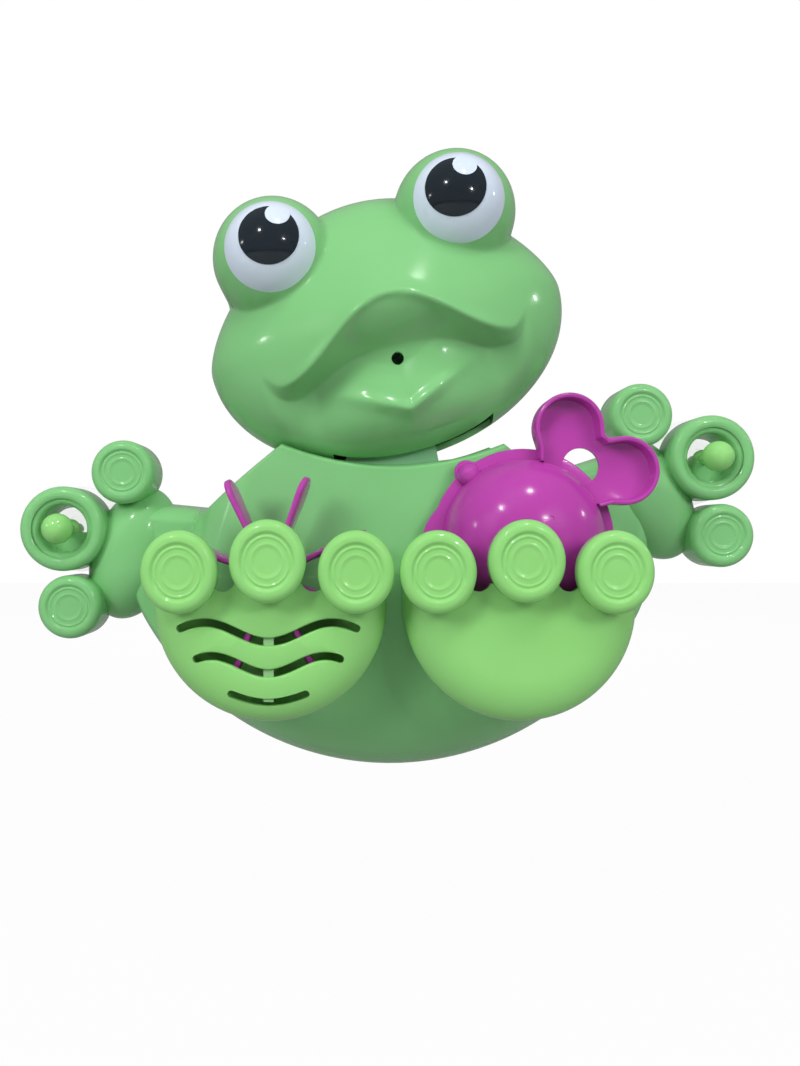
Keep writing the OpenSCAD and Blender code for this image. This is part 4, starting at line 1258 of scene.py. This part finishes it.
@dataclass
class Scoop:
    """The fish scoop: a bowl with a rim, a mouth, a fin, and a dished tail with a hole.

    Attributes:
        middle: place of the bowl's middle.
        back: distance of its open back from the wall.
        radius: radius of the bowl.
        deep: depth of the bowl.
        thin: thickness of the walls.
        rim_w: width of the rim outside the bowl.
        rim_edge: the rim's edge, as (inset, out) steps.
        mouth: distance, direction in degrees and radius of the circle that draws out the mouth.
        fin: the same for the fin.
        blend: size of the fillets between these circles.
        fin_knob: how far the knob lies inside the fin's circle, its foot's level and its height.
        gate: section of the small dimpled nub on the bowl, as (radius, out) points.
        gate_at: its place from the bowl's middle.
        tilt: direction of the tail, in degrees.
        lobe: distance along the tail, distance to either side and radius of its lobes.
        notch: distance of the notch's bottom between the lobes.
        neck: distance and half width of the tail's neck.
        tail_deep: height of the tail's wall.
        tail_foot: fillet from the wall to the floor, as (inset past the wall, out) steps.
        floor: levels of the tail's floor, below and above.
        fan: how far beyond the hole's middle the point lies that the tail's grid fans out from.
        hole: distance and radius of the hole in the tail.
        tuck: how far the tail reaches into the bowl's wall.
        steps: steps of the rim's grid round the bowl.
    """

    middle: tuple[float, float] = (52.4, -2.8)
    back: float = 54.6
    radius: float = 33.0
    deep: float = 26.0
    thin: float = 2.0
    rim_w: float = 3.9
    rim_edge: tuple[tuple[float, float], ...] = (
        (0.8, 0.0),
        (0.25, 0.25),
        (0.0, 0.8),
        (0.0, 1.3),
        (0.3, 1.8),
        (0.9, 2.0),
    )
    mouth: tuple[float, float, float] = (21.0, 185.0, 20.0)
    fin: tuple[float, float, float] = (35.6, 130.0, 5.0)
    blend: float = 0.8
    fin_knob: tuple[float, float, float] = (1.5, 1.5, 5.0)
    gate: tuple[tuple[float, float], ...] = (
        (0.0, 23.0),
        (1.3, 23.0),
        (1.3, 24.55),
        (0.9, 24.7),
        (0.7, 24.45),
        (0.0, 24.4),
    )
    gate_at: tuple[float, float] = (6.2, 8.4)
    tilt: float = 52.0
    lobe: tuple[float, float, float] = (46.0, 14.0, 13.8)
    notch: float = 52.5
    neck: tuple[float, float] = (28.0, 15.0)
    tail_deep: float = 9.0
    tail_foot: tuple[tuple[float, float], ...] = ((0.0, 3.2), (0.4, 2.4), (1.2, 2.06))
    floor: tuple[float, float] = (0.05, 2.06)
    fan: float = 2.5
    hole: tuple[float, float] = (37.6, 7.5)
    tuck: float = 1.2
    steps: int = 240

    def bowl(self) -> Patch:
        """The bowl: a quarter ellipse (r cos a, d sin a) turned round, outside and inside.

        Returns:
            A patch whose two open ends meet on the axis.
        """
        quarter = arc(0, 0, 1, 0, 90, 40)
        outer = quarter * [self.radius, self.deep]
        inner = quarter * [self.radius - self.thin, self.deep - self.thin]
        return lathe(line_of(outer[::-1], inner), 160)

    def rim_outline(self, inset: float) -> Grid:
        """The rim's edge: in each direction the furthest of three circles, softened where they meet.

        A circle at a distance c from the middle reaches c cos b + sqrt(r^2 - c^2 sin^2 b) in a
        direction b away from its own.

        Args:
            inset: how far inside the edge the outline lies.

        Returns:
            Points of (across, up) from the bowl's middle.
        """
        a = circle(self.steps)
        far = np.full(self.steps, self.radius + self.rim_w - inset)
        for dist, where, r in (self.mouth, self.fin):
            along = dist * np.cos(a - math.radians(where))
            off = (dist * np.sin(a - math.radians(where))) ** 2
            room = (r - inset) ** 2 - off
            reach = np.where((room > 0) & (along > 0), along + np.sqrt(np.clip(room, 0, None)), 0)
            far = soft_max(far, reach, self.blend)
        return np.stack([far * np.cos(a), far * np.sin(a)], axis=-1)

    def rim(self) -> Patch:
        """The rim: a flat band with a rounded edge, closed against the bowl's inside.

        Returns:
            A patch that closes round the bowl and round its own section.
        """
        a = circle(self.steps)
        inside = (self.radius - self.thin) * np.stack([np.cos(a), np.sin(a)], axis=-1)
        rows = [flat_ring(inside, 0.0)]
        rows += [flat_ring(self.rim_outline(inset), out) for inset, out in self.rim_edge]
        rows.append(flat_ring(inside * 1.02, self.rim_edge[-1][1]))
        return Patch(np.stack(rows), around=True, along=True)

    def tail_reach(self, inset: float, middle: float, count: int) -> Grid:
        """How far the tail's edge lies from a point on its axis, in each direction.

        The edge is the furthest of two lobes and of the straight sides between their corners; a
        short running mean rounds the corners.

        Args:
            inset: how far inside the edge to measure.
            middle: distance of that point along the tail.
            count: number of directions.

        Returns:
            The distance in each direction.
        """
        a = circle(count)
        along, out, r = self.lobe
        far = np.zeros(count)
        for s in Side:
            cx, cz = along - middle, s.value * out
            near = cx * np.cos(a) + cz * np.sin(a)
            room = (r - inset) ** 2 - (cx * np.sin(a) - cz * np.cos(a)) ** 2
            far = np.maximum(far, np.where((room > 0), near + np.sqrt(np.clip(room, 0, None)), 0))
        corners = [
            (self.neck[0], self.neck[1] - inset),
            (along, out + r - inset),
            (self.notch - inset, 0.0),
            (along, inset - out - r),
            (self.neck[0], inset - self.neck[1]),
        ]
        for (x0, z0), (x1, z1) in zip(corners, corners[1:] + corners[:1], strict=True):
            x0, x1 = x0 - middle, x1 - middle
            bottom = np.cos(a) * (z1 - z0) - np.sin(a) * (x1 - x0)
            bottom = np.where(np.abs(bottom) < 1e-9, 1e-9, bottom)
            t = (x0 * (z1 - z0) - z0 * (x1 - x0)) / bottom
            u = (x0 * np.sin(a) - z0 * np.cos(a)) / bottom
            u = np.where(np.abs(x1 - x0) + np.abs(z1 - z0) > 0, u, -1)
            good = (t > 0) & (u >= -1e-6) & (u <= 1 + 1e-6)
            far = np.maximum(far, np.where(good, t, 0))
        kernel = np.ones(11) / 11
        return np.convolve(np.concatenate([far[-5:], far, far[:5]]), kernel, "valid")

    def tail(self) -> Patch:
        """The tail: rings from the hole's edge, under the floor, up the wall, and back to the hole.

        What of a ring falls inside the bowl is pushed out to the bowl's wall.

        Returns:
            A patch that closes round the hole and round its own section.
        """
        count, middle = 300, self.hole[0] + self.fan
        low, top = self.floor
        a = circle(count)

        def ring(inset: float, out: float) -> Grid:
            """The tail's outline on one level.

            Args:
                inset: how far inside the tail's edge it lies.
                out: the level.

            Returns:
                Count x 3 points.
            """
            r = self.tail_reach(inset, middle, count)
            x, z = middle + r * np.cos(a), r * np.sin(a)
            push = np.maximum(1, (self.radius - self.tuck) / np.maximum(np.hypot(x, z), 1e-6))
            level = np.where(push > 1, min(out, top), out)
            return np.column_stack([x * push, z * push, level])

        hx = self.hole[0] - middle
        off = (hx * np.sin(a)) ** 2
        edge = hx * np.cos(a) + np.sqrt(self.hole[1] ** 2 - off)
        hole = np.stack([middle + edge * np.cos(a), edge * np.sin(a)], axis=-1)
        deep, thin = self.tail_deep, self.thin
        half, nick = thin / 2, 0.3
        rows = [
            flat_ring(hole, low),
            ring(half / 2, low),
            ring(0.0, half / 2),
            ring(0.0, deep - half),
            ring(nick, deep - nick),
            ring(half, deep),
            ring(thin - nick, deep - nick),
            ring(thin, deep - half),
            *(ring(thin + past, out) for past, out in self.tail_foot),
            flat_ring(hole, top),
        ]
        return Patch(np.stack(rows), around=True, along=True)

    def build(self, bench: Bench) -> None:
        """Makes the scoop's pieces, which ride together.

        Args:
            bench: where pieces are fitted.
        """
        here = shifted(*self.middle, self.back)

        def tail_place(p: Grid) -> Grid:
            """Turns the tail to its direction."""
            x, z = turned(p[..., 0], p[..., 1], self.tilt)
            return here(np.stack([x, z, p[..., 2]], axis=-1))

        made = solid("scoop_bowl", [self.bowl(), self.rim()], here)
        bench.fit(made, Body.SCOOP, PINK, ["fish_scoop"])
        made = solid("scoop_tail", [self.tail()], tail_place)
        bench.fit(made, Body.SCOOP, PINK)
        dist, where, r = self.fin
        inwards, foot, tall = self.fin_knob
        x, z = turned(np.array(dist - inwards), np.array(0.0), where)
        fin = lathe(line_of([0, 0], arc(0, 0, 1, 0, 90, 12) * [r, tall] + [0, foot]), 48)
        made = solid("scoop_fin", [fin], shifted(float(x), float(z), then=here))
        bench.fit(made, Body.SCOOP, PINK)
        made = solid("scoop_gate", [lathe(self.gate, 32)], shifted(*self.gate_at, then=here))
        bench.fit(made, Body.SCOOP, PINK)


@dataclass
class Head:
    """The head: two shells, two eyes, and the mouth with its spout.

    Attributes:
        pivot: height of the pivot above the origin.
        tilt: rest tilt, in degrees.
        half: half width of the oval.
        mid: height of its widest level above the pivot.
        up: height of the crown above that level.
        down: drop of the chin below it.
        split: distance from the wall of the plane where the two shells meet.
        joint: play between the two shells.
        front: distance of the face's crown from the wall, without the muzzle.
        back: distance of the back shell's crown.
        eye: place of the right eye's middle.
        bulge_r: radius of the bulge round an eye.
        bulge_mid: distance of the bulge's middle from the wall.
        bulge_back: depth of the bulge's back behind the split.
        fillets: fillets of the bulges in the outline, on the face and on the back.
        muzzle_rise: height of the muzzle on the face.
        muzzle_size: its half width and half height.
        brow: how much the upper half narrows, and the share of its height where that sets in.
        lip: height, swing, wave length and half width of the upper lip's crest.
        lip_curl: where the crest curls up, and by how much at its ends.
        lip_band: height of the undercut at the ends, what its middle has more, and over what width.
        lip_cut: depth of the undercut.
        lip_fade: height over which it runs out on the chin.
        lip_end: width over which it ends in the cheeks.
        lip_flare: height of the crest.
        crest: width of the crest below and above its line.
        spout: half width, height of the rim's middle, height where it ends, and slope of its sides.
        spout_cut: depth of the dish above the rim.
        spout_rise: height over which the dish deepens.
        spout_ridge: height and width of the rim.
        slot: half width and upper end of the neck's slot, and its distance from the wall.
        mouth: height and radius of the water hole.
        mouth_cut: distances from the wall between which it is cut.
        slot_low: height that the slot's cut starts at, below the chin.
        cells: cells of the face's grid and of the back's, each way.
    """

    pivot: float = 75.0
    tilt: float = 14.5
    half: float = 76.5
    mid: float = 10.0
    up: float = 57.0
    down: float = 54.0
    split: float = 34.0
    joint: float = 0.15
    front: float = 74.0
    back: float = 9.0
    eye: tuple[float, float] = (38.0, 47.5)
    bulge_r: float = 24.8
    bulge_mid: float = 52.0
    bulge_back: float = 16.0
    fillets: tuple[float, float, float] = (5.0, 2.5, 2.0)
    muzzle_rise: float = 8.0
    muzzle_size: tuple[float, float] = (34.0, 24.0)
    brow: tuple[float, float] = (0.22, 0.1)
    lip: tuple[float, float, float, float] = (5.0, 11.0, 92.0, 56.0)
    lip_curl: tuple[float, float] = (46.0, 8.5)
    lip_band: tuple[float, float, float] = (4.5, 12.5, 22.0)
    lip_cut: float = 13.0
    lip_fade: float = 20.0
    lip_end: float = 22.0
    lip_flare: float = 1.3
    crest: tuple[float, float] = (1.3, 3.6)
    spout: tuple[float, float, float, float] = (21.0, -27.0, -7.0, 0.47)
    spout_cut: float = 5.8
    spout_rise: float = 18.0
    spout_ridge: tuple[float, float] = (1.9, 3.2)
    slot: tuple[float, float, float] = (34.5, -21.0, 45.5)
    mouth: tuple[float, float] = (-5.7, 2.5)
    mouth_cut: tuple[float, float] = (50.0, 95.0)
    slot_low: float = -60.0
    cells: tuple[int, int] = (210, 110)

    def place(self, p: Grid) -> Grid:
        """Takes the head's frame to the row's: tilted about the pivot."""
        x, z = turned(p[..., 0], p[..., 1], self.tilt)
        return on_wall(np.stack([x, self.pivot + z, p[..., 2]], axis=-1))

    def squeeze(self, t: Grid) -> Grid:
        """How far the upper half is drawn in: level at the widest level, then nearly straight."""
        taper, soft = self.brow
        return 1 - taper * (np.sqrt(t * t + soft * soft) - soft)

    def oval_share(self, x: Grid, z: Grid, inset: float) -> Grid:
        """Squared distance from the oval's middle, 1 on its edge: (x/w)^2 + (z/b)^2.

        Args:
            x: places across the head.
            z: their heights.
            inset: how far inside the outer skin they lie.

        Returns:
            The share at each place, held at 1 outside the oval.
        """
        b = np.where(z > self.mid, self.up, self.down) - inset
        w = (self.half - inset) * self.squeeze(np.clip(z - self.mid, 0, None) / b)
        return np.minimum((x / w) ** 2 + ((z - self.mid) / b) ** 2, 1)

    def reach(self, a: Grid, inset: float) -> Grid:
        """Distance of the outline in a direction: the oval, or an eye's bulge where it stands past it.

        The oval's width depends on the height that is reached, so its distance is found in a few
        rounds. A bulge reaches along + sqrt(r^2 - off^2), along and off its own direction.

        Args:
            a: directions from the middle of the widest level, as angles.
            inset: how far inside the outer skin the outline lies.

        Returns:
            The distance in each direction.
        """
        b = np.where(np.sin(a) > 0, self.up, self.down) - inset
        far = np.zeros_like(a)
        for _ in range(8):
            w = (self.half - inset) * self.squeeze(np.clip(far * np.sin(a), 0, None) / b)
            far = w * b / np.sqrt((b * np.cos(a)) ** 2 + (w * np.sin(a)) ** 2)
        for s in Side:
            cx, cz = s.value * self.eye[0], self.eye[1] - self.mid
            along = cx * np.cos(a) + cz * np.sin(a)
            room = (self.bulge_r - inset) ** 2 - (cx * cx + cz * cz - along * along)
            near = along + np.sqrt(np.clip(room, 0, None))
            far = soft_max(far, np.where((room > 0) & (along > 0), near, 0), self.fillets[0])
        return far

    def spots(self, inset: float, cells: int) -> tuple[Grid, Grid]:
        """A square grid drawn out to the outline.

        The square (u, v) becomes the disc (u sqrt(1 - v^2/2), v sqrt(1 - u^2/2)), and each of its
        points is stretched by the outline's distance in its direction.

        Args:
            inset: how far inside the outer skin the outline lies.
            cells: steps of the grid each way.

        Returns:
            The places across and their heights.
        """
        u, v = np.meshgrid(spread(cells), spread(cells), indexing="ij")
        x, z = u * np.sqrt(1 - v * v / 2), v * np.sqrt(1 - u * u / 2)
        a = np.arctan2(z, x)
        k = np.hypot(x, z) * self.reach(a, inset)
        return k * np.cos(a), self.mid + k * np.sin(a)

    def lip_line(self, x: Grid) -> Grid:
        """Height of the upper lip's crest: a cosine wave that curls up towards the corners.

        Args:
            x: places across the face.

        Returns:
            The height at each place; the curl grows with the square of the way past its start.
        """
        base, swing, long, half = self.lip
        start, rise = self.lip_curl
        curl = rise * (np.clip(np.abs(x) - start, 0, None) / (half - start)) ** 2
        return base + swing * np.cos(2 * np.pi * x / long) + curl

    def face_out(self, x: Grid, z: Grid, inset: float) -> Grid:
        """Distance of the face from the wall.

        It is the oval's dome, plus a bell for the muzzle, plus a narrow bell for the lip's crest,
        less an undercut that ramps up below the crest and runs out on the chin, less the spout's
        dish, plus its rim, with the eyes' spheres filleted in.

        Args:
            x: places across the face.
            z: their heights.
            inset: how far inside the outer skin they lie.

        Returns:
            The distance at each place.
        """
        dome = self.split + (self.front - self.split - inset) * np.sqrt(1 - self.oval_share(x, z, inset))
        muzzle = self.muzzle_rise * bell(x / self.muzzle_size[0]) * bell(z / self.muzzle_size[1])
        below = self.lip_line(x) - z
        mid = step((self.lip[3] - np.abs(x)) / self.lip_end)
        band = self.lip_band[0] + self.lip_band[1] * bell(x / self.lip_band[2])
        cut = self.lip_cut * mid * ramp(below / band) * bell(np.clip(below - band, 0, None) / self.lip_fade)
        half, low, top, slope = self.spout
        over = z - low - slope * np.sqrt(x * x + 1.0)
        dish = np.clip(over / self.spout_rise, 0, 1) * (1 - step((z - top) / half))
        ridge, ridge_w = self.spout_ridge
        spout = (self.spout_cut * dish - ridge * bell(over / ridge_w)) * bell(x / half)
        flare = self.lip_flare * mid * bell(below / np.where(below > 0, *self.crest))
        base = dome + muzzle + flare - cut - spout
        u, v = np.abs(x) - self.eye[0], z - self.eye[1]
        room = (self.bulge_r - inset) ** 2 - u * u - v * v
        bulge = np.where(room > 0, self.bulge_mid + np.sqrt(np.clip(room, 0, None)), -40)
        return soft_max(base, bulge, self.fillets[1])

    def back_out(self, x: Grid, z: Grid, inset: float) -> Grid:
        """Distance of the back shell from the wall: the oval's dome and the backs of the bulges.

        Args:
            x: places across the back.
            z: their heights.
            inset: how far inside the outer skin they lie.

        Returns:
            The distance at each place.
        """
        dome = (self.split - self.back - inset) * np.sqrt(1 - self.oval_share(x, z, inset))
        u, v = np.abs(x) - self.eye[0], z - self.eye[1]
        room = 1 - (u * u + v * v) / (self.bulge_r - inset) ** 2
        bulge = (self.bulge_back - inset) * np.sqrt(np.clip(room, 0, None))
        return self.split - self.joint - soft_max(dome, bulge, self.fillets[2])

    def skin(self, inset: float, front: bool) -> Grid:
        """One grid of a shell, its border on the plane where the two shells meet.

        Args:
            inset: how far inside the outer skin the grid lies.
            front: whether it is the face or the back.

        Returns:
            Cells x cells x 3 points.
        """
        x, z = self.spots(inset, self.cells[0 if front else 1])
        edge = self.split if front else self.split - self.joint
        out = self.face_out(x, z, inset) if front else self.back_out(x, z, inset)
        out = np.maximum(out, edge + 0.1) if front else np.minimum(out, edge - 0.1)
        out[0], out[-1], out[:, 0], out[:, -1] = (edge,) * 4
        return np.stack([x, z, out], axis=-1)

    def build(self, bench: Bench) -> None:
        """Makes the shells, cuts the slot and the mouth, and sets the eyes.

        Args:
            bench: where pieces are fitted.
        """
        half, top, out = self.slot
        up, r = self.mouth
        slot = block("cut_slot", (-half, half), (self.slot_low, top), (self.split - 2, out), self.place)
        tools = [slot, solid("cut_mouth", [rod(r, *self.mouth_cut)], shifted(0, up, then=self.place))]
        made = carved(solid("face", shell(self.skin(0, True), self.skin(WALL, True)), self.place), tools)
        bench.fit(made, Body.HEAD, LEAF, ["face_shell"], degrees=60.0)
        made = solid("head_rear", shell(self.skin(0, False), self.skin(WALL, False)), self.place)
        bench.fit(made, Body.HEAD, LEAF, ["head_back"], degrees=60.0)
        for side in Side:
            Eye(side).build(bench, self)


@dataclass
class Eye:
    """An eye: a white dome and a printed pupil with a round notch.

    Attributes:
        side: which eye.
        radius: radius of the white.
        dome: radius of the dome's sphere and the distance of its middle from the wall.
        pupil: radius of the pupil, its shift inwards and its shift up.
        gaze: shift of both pupils to the right.
        notch: place of the notch from the pupil's middle, and its radius.
        seat: distance from the wall of the dome's flat back.
        thick: thickness of a print.
        cap: what the notch's print stands off more than the pupil's.
        sunk: how deep a print's underside lies in the dome.
    """

    side: Side
    radius: float = 18.7
    dome: tuple[float, float] = (20.4, 59.3)
    pupil: tuple[float, float, float] = (11.6, 1.2, 1.9)
    gaze: float = -0.5
    notch: tuple[float, float, float] = (5.3, 6.9, 4.7)
    seat: float = 63.0
    thick: float = 0.3
    cap: float = 0.15
    sunk: float = 0.4

    def white(self) -> Patch:
        """The dome: a sphere cut by a cylinder.

        Returns:
            A closed patch.
        """
        ball, mid = self.dome
        low = math.degrees(math.acos(self.radius / ball))
        return lathe(line_of([[0, self.seat], [self.radius, self.seat]], arc(0, mid, ball, low, 90, 40)), 128)

    def print_patch(self, place: tuple[float, float, float], lift: float) -> Patch:
        """A round print laid on the dome: out = mid + sqrt(ball^2 - x^2 - z^2), plus its thickness.

        Args:
            place: across, up and radius, from the dome's middle.
            lift: how far its face stands off the dome.

        Returns:
            A closed patch, whose underside lies inside the dome.
        """
        across, up, r = place
        a = circle(120)
        share = np.concatenate([np.linspace(0, 1, 12), [1.0, 0.9, 0.0]])[:, None]
        x, z = across + share * r * np.cos(a), up + share * r * np.sin(a)
        ball, mid = self.dome
        height = np.concatenate([np.full(12, lift), [0.02, -self.sunk, -self.sunk]])[:, None]
        return Patch(np.stack([x, z, mid + np.sqrt(ball**2 - x * x - z * z) + height], axis=-1), around=True)

    def build(self, bench: Bench, head: Head) -> None:
        """Makes the dome, the pupil and its notch.

        Args:
            bench: where pieces are fitted.
            head: the head that the eye sits on.
        """
        name = self.side.name.lower()
        here = shifted(self.side.value * head.eye[0], head.eye[1], then=head.place)
        made = solid(f"eye_{name}", [self.white()], here)
        bench.fit(made, Body.HEAD, WHITE, [f"{name}_eye"])
        r, inwards, up = self.pupil
        across = self.gaze - self.side.value * inwards
        made = solid(f"pupil_{name}", [self.print_patch((across, up, r), self.thick)], here)
        bench.fit(made, Body.HEAD, BLACK, [f"{name}_pupil"])
        nx, nz, nr = self.notch
        notch = self.print_patch((across + nx, up + nz, nr), self.thick + self.cap)
        made = solid(f"eye_glint_{name}", [notch], here)
        bench.fit(made, Body.HEAD, WHITE)


@dataclass
class Squeaker:
    """The bellows that the neck plate's crank squeezes as the head rocks.

    Attributes:
        fixed: place of its fixed end in the head's frame: across, up and out of the wall.
        long: its length at rest.
        radius: radius at the crest of a fold.
        root: radius between two folds, as a share of that.
        folds: how many folds it has.
        keep: share of its length at the far end of the head's swing; not used.
    """

    fixed: tuple[float, float, float] = (-32.0, 21.3, 40.0)
    long: float = 31.2
    radius: float = 9.0
    root: float = 0.7
    folds: int = 5
    keep: float = 0.7

    def profile(self) -> Grid:
        """Half section: the radius follows a raised cosine along the length, between flat ends.

        Returns:
            Points of (radius, length).
        """
        share = np.linspace(0, 1, 20 * self.folds + 1)
        wave = 0.5 - 0.5 * np.cos(2 * np.pi * self.folds * share)
        side = np.stack([self.radius * (self.root + (1 - self.root) * wave), self.long * share], axis=-1)
        return line_of([[0, 0]], side, [[0, self.long]])

    def build(self, bench: Bench, head: Head) -> None:
        """Makes the folds; their length stays as built.

        Args:
            bench: where pieces are fitted.
            head: the head that holds the bellows.
        """
        across, up, out = self.fixed

        def along(p: Grid) -> Grid:
            """Lays the axis across the head, starting at the fixed end."""
            return head.place(np.stack([across + p[..., 2], up + p[..., 0], out + p[..., 1]], axis=-1))

        made = solid("squeaker_folds", [lathe(self.profile(), 64)], along)
        bench.fit(made, Body.HEAD, IVORY, ["squeaker_bellows"], degrees=50.0)
        near, far = along(np.array([[0.0, 0.0, 0.0], [0.0, 0.0, 1.0]]))
        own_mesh(made)


@dataclass(frozen=True)
class Lamp:
    """One round lamp, aimed at the toy.

    Attributes:
        name: its name.
        place: where it hangs, in metres in the row's frame.
        size: its diameter, in metres.
        power: its power, in watts.
        glossy: whether it is mirrored in the gloss.
    """

    name: str
    place: tuple[float, float, float]
    size: float
    power: float
    glossy: bool = False

    def build(self, aim: Vector) -> None:
        """Hangs the lamp up.

        Args:
            aim: the point that it shines at.
        """
        data = bpy.data.lights.new(self.name, "AREA")
        data.shape = "DISK"
        data.size = self.size
        data.energy = self.power
        thing = bpy.data.objects.new(self.name, data)
        thing.visible_glossy = self.glossy
        thing.location = self.place
        thing.rotation_euler = (aim - Vector(self.place)).to_track_quat("-Z", "Y").to_euler()
        bpy.context.scene.collection.objects.link(thing)


LAMPS = (
    Lamp("key", (-0.2, -1.2, 1.6), 0.8, 7.0),
    Lamp("side_left", (-1.2, -1.4, 0.75), 0.7, 14.5),
    Lamp("side_right", (1.2, -1.4, 0.75), 0.7, 11.0),
    Lamp("behind", (0.1, 1.7, 0.7), 0.9, 13.0),
    Lamp("glint_left", (-0.45, -0.9, 0.75), 0.05, 1.2, True),
    Lamp("glint_right", (0.5, -1.0, 0.45), 0.05, 0.8, True),
    Lamp("sheen_top", (0.3, -0.9, 1.45), 0.12, 2.2, True),
    Lamp("sheen_right", (1.8, -0.25, 0.7), 0.12, 0.8, True),
    Lamp("sheen_left", (-1.5, -0.8, 0.5), 0.1, 0.5, True),
)


@dataclass
class Studio:
    """Camera, lights and the pale floor.

    Attributes:
        eye: place of the camera, in millimetres in the row's frame.
        focal: focal length, in pixels of the picture.
        tall: height of the picture, in pixels.
        shift: sideways shift, as a share of the longer side.
        aim: the point that the lamps shine at, in metres.
        floor: height of the floor.
        floor_half: half the floor's width.
        floor_glow: how bright the floor looks to the camera, and how much of that is its own light.
        sky: strength of the soft light from the level and from straight above.
        gloss: strength of the surround in the gloss.
    """

    eye: tuple[float, float, float] = (-14.85, -400.0, 0.0)
    focal: float = 850.0
    tall: float = 1066.0
    shift: float = 0.0405
    aim: tuple[float, float, float] = (0.0, -0.05, 0.03)
    floor: float = -200.0
    floor_half: float = 3000.0
    floor_glow: tuple[float, float] = (1.03, 0.93)
    sky: tuple[float, float] = (0.10, 0.5)
    gloss: float = 0.3

    def camera(self) -> None:
        """Sets the camera up, looking straight at the wall."""
        data = bpy.data.cameras.new("camera")
        data.sensor_width = 36.0
        data.lens = data.sensor_width * self.focal / self.tall
        data.shift_x = self.shift
        data.clip_start = 0.01
        thing = bpy.data.objects.new("camera", data)
        thing.location = tuple(v * MM for v in self.eye)
        thing.rotation_euler = (math.pi / 2, 0.0, 0.0)
        bpy.context.scene.collection.objects.link(thing)
        bpy.context.scene.camera = thing

    def world(self) -> None:
        """A soft surround: white to the camera, dim to the gloss, and brighter above than below."""
        world = bpy.data.worlds.new("surround")
        world.use_nodes = True
        nodes, links = world.node_tree.nodes, world.node_tree.links

        def between(low: float | Socket, high: float, share: Socket) -> Socket:
            """Runs from the low value to the high one as the share runs from 0 to 1.

            Args:
                low: a number or a socket.
                high: a number.
                share: the socket that leads from one to the other.

            Returns:
                The socket of the result.
            """
            made = nodes.new("ShaderNodeMapRange")
            made.inputs["To Max"].default_value = high
            if isinstance(low, float):
                made.inputs["To Min"].default_value = low
            else:
                links.new(low, made.inputs["To Min"])
            links.new(share, made.inputs["Value"])
            return made.outputs["Result"]

        path = nodes.new("ShaderNodeLightPath").outputs
        split = nodes.new("ShaderNodeSeparateXYZ")
        links.new(nodes.new("ShaderNodeTexCoord").outputs["Generated"], split.inputs["Vector"])
        strength = between(*self.sky, split.outputs["Z"])
        strength = between(strength, self.gloss, path["Is Glossy Ray"])
        strength = between(strength, 1.0, path["Is Camera Ray"])
        back = nodes["Background"].inputs
        back["Color"].default_value = (1.0, 1.0, 1.0, 1.0)
        links.new(strength, back["Strength"])
        bpy.context.scene.world = world

    def ground(self) -> None:
        """A pale floor below the toy."""
        x, y = np.meshgrid([-self.floor_half, self.floor_half], [-self.floor_half, self.floor_half])
        thing = solid("floor", [Patch(np.stack([x, y, np.full_like(x, self.floor)], axis=-1))], lambda p: p)
        tree = Tree("pale_floor")
        dull = tree.node("ShaderNodeBsdfDiffuse", {}, {"Color": (0.35, 0.36, 0.35, 1.0)})
        strength, share = self.floor_glow
        glow = tree.node("ShaderNodeEmission", {}, {"Color": (1.0, 1.0, 1.0, 1.0), "Strength": strength})
        seen = tree.node("ShaderNodeLightPath", {}, {}, "Is Camera Ray")
        mixed = tree.node("ShaderNodeMixShader", {}, {0: seen * share, 1: dull, 2: glow})
        tree.node("ShaderNodeOutputMaterial", {}, {"Surface": mixed})
        thing.data.materials.append(tree.material)

    def build(self) -> None:
        """Sets the whole studio up."""
        self.camera()
        self.world()
        self.ground()
        for lamp in LAMPS:
            lamp.build(Vector(self.aim))
        bpy.context.scene.view_settings.view_transform = "Standard"


def main() -> None:
    """Builds the toy piece by piece."""
    logging.basicConfig(level=logging.INFO, format="%(name)s: %(message)s")
    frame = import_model()
    bench = Bench(frame)
    Studio().build()
    Belly().build(bench)
    for side in Side:
        Foot(side).build(bench)
        Hand(side).build(bench)
    Wheel().build(bench)
    Scoop().build(bench)
    head = Head()
    head.build(bench)
    Squeaker().build(bench, head)
    bench.dress(["back_cover"], LEAF)
    bench.dress(["neck_link"], FROSTED)
    bench.dress(["wheel_axle", "pivot_pin"], STEEL)
    bench.dress(["body_screws", "hand_screws", "foot_screws", "head_screws"], STEEL)
    bench.dress(["squeaker_reed"], IVORY)


if __name__ == "__main__":
    main()
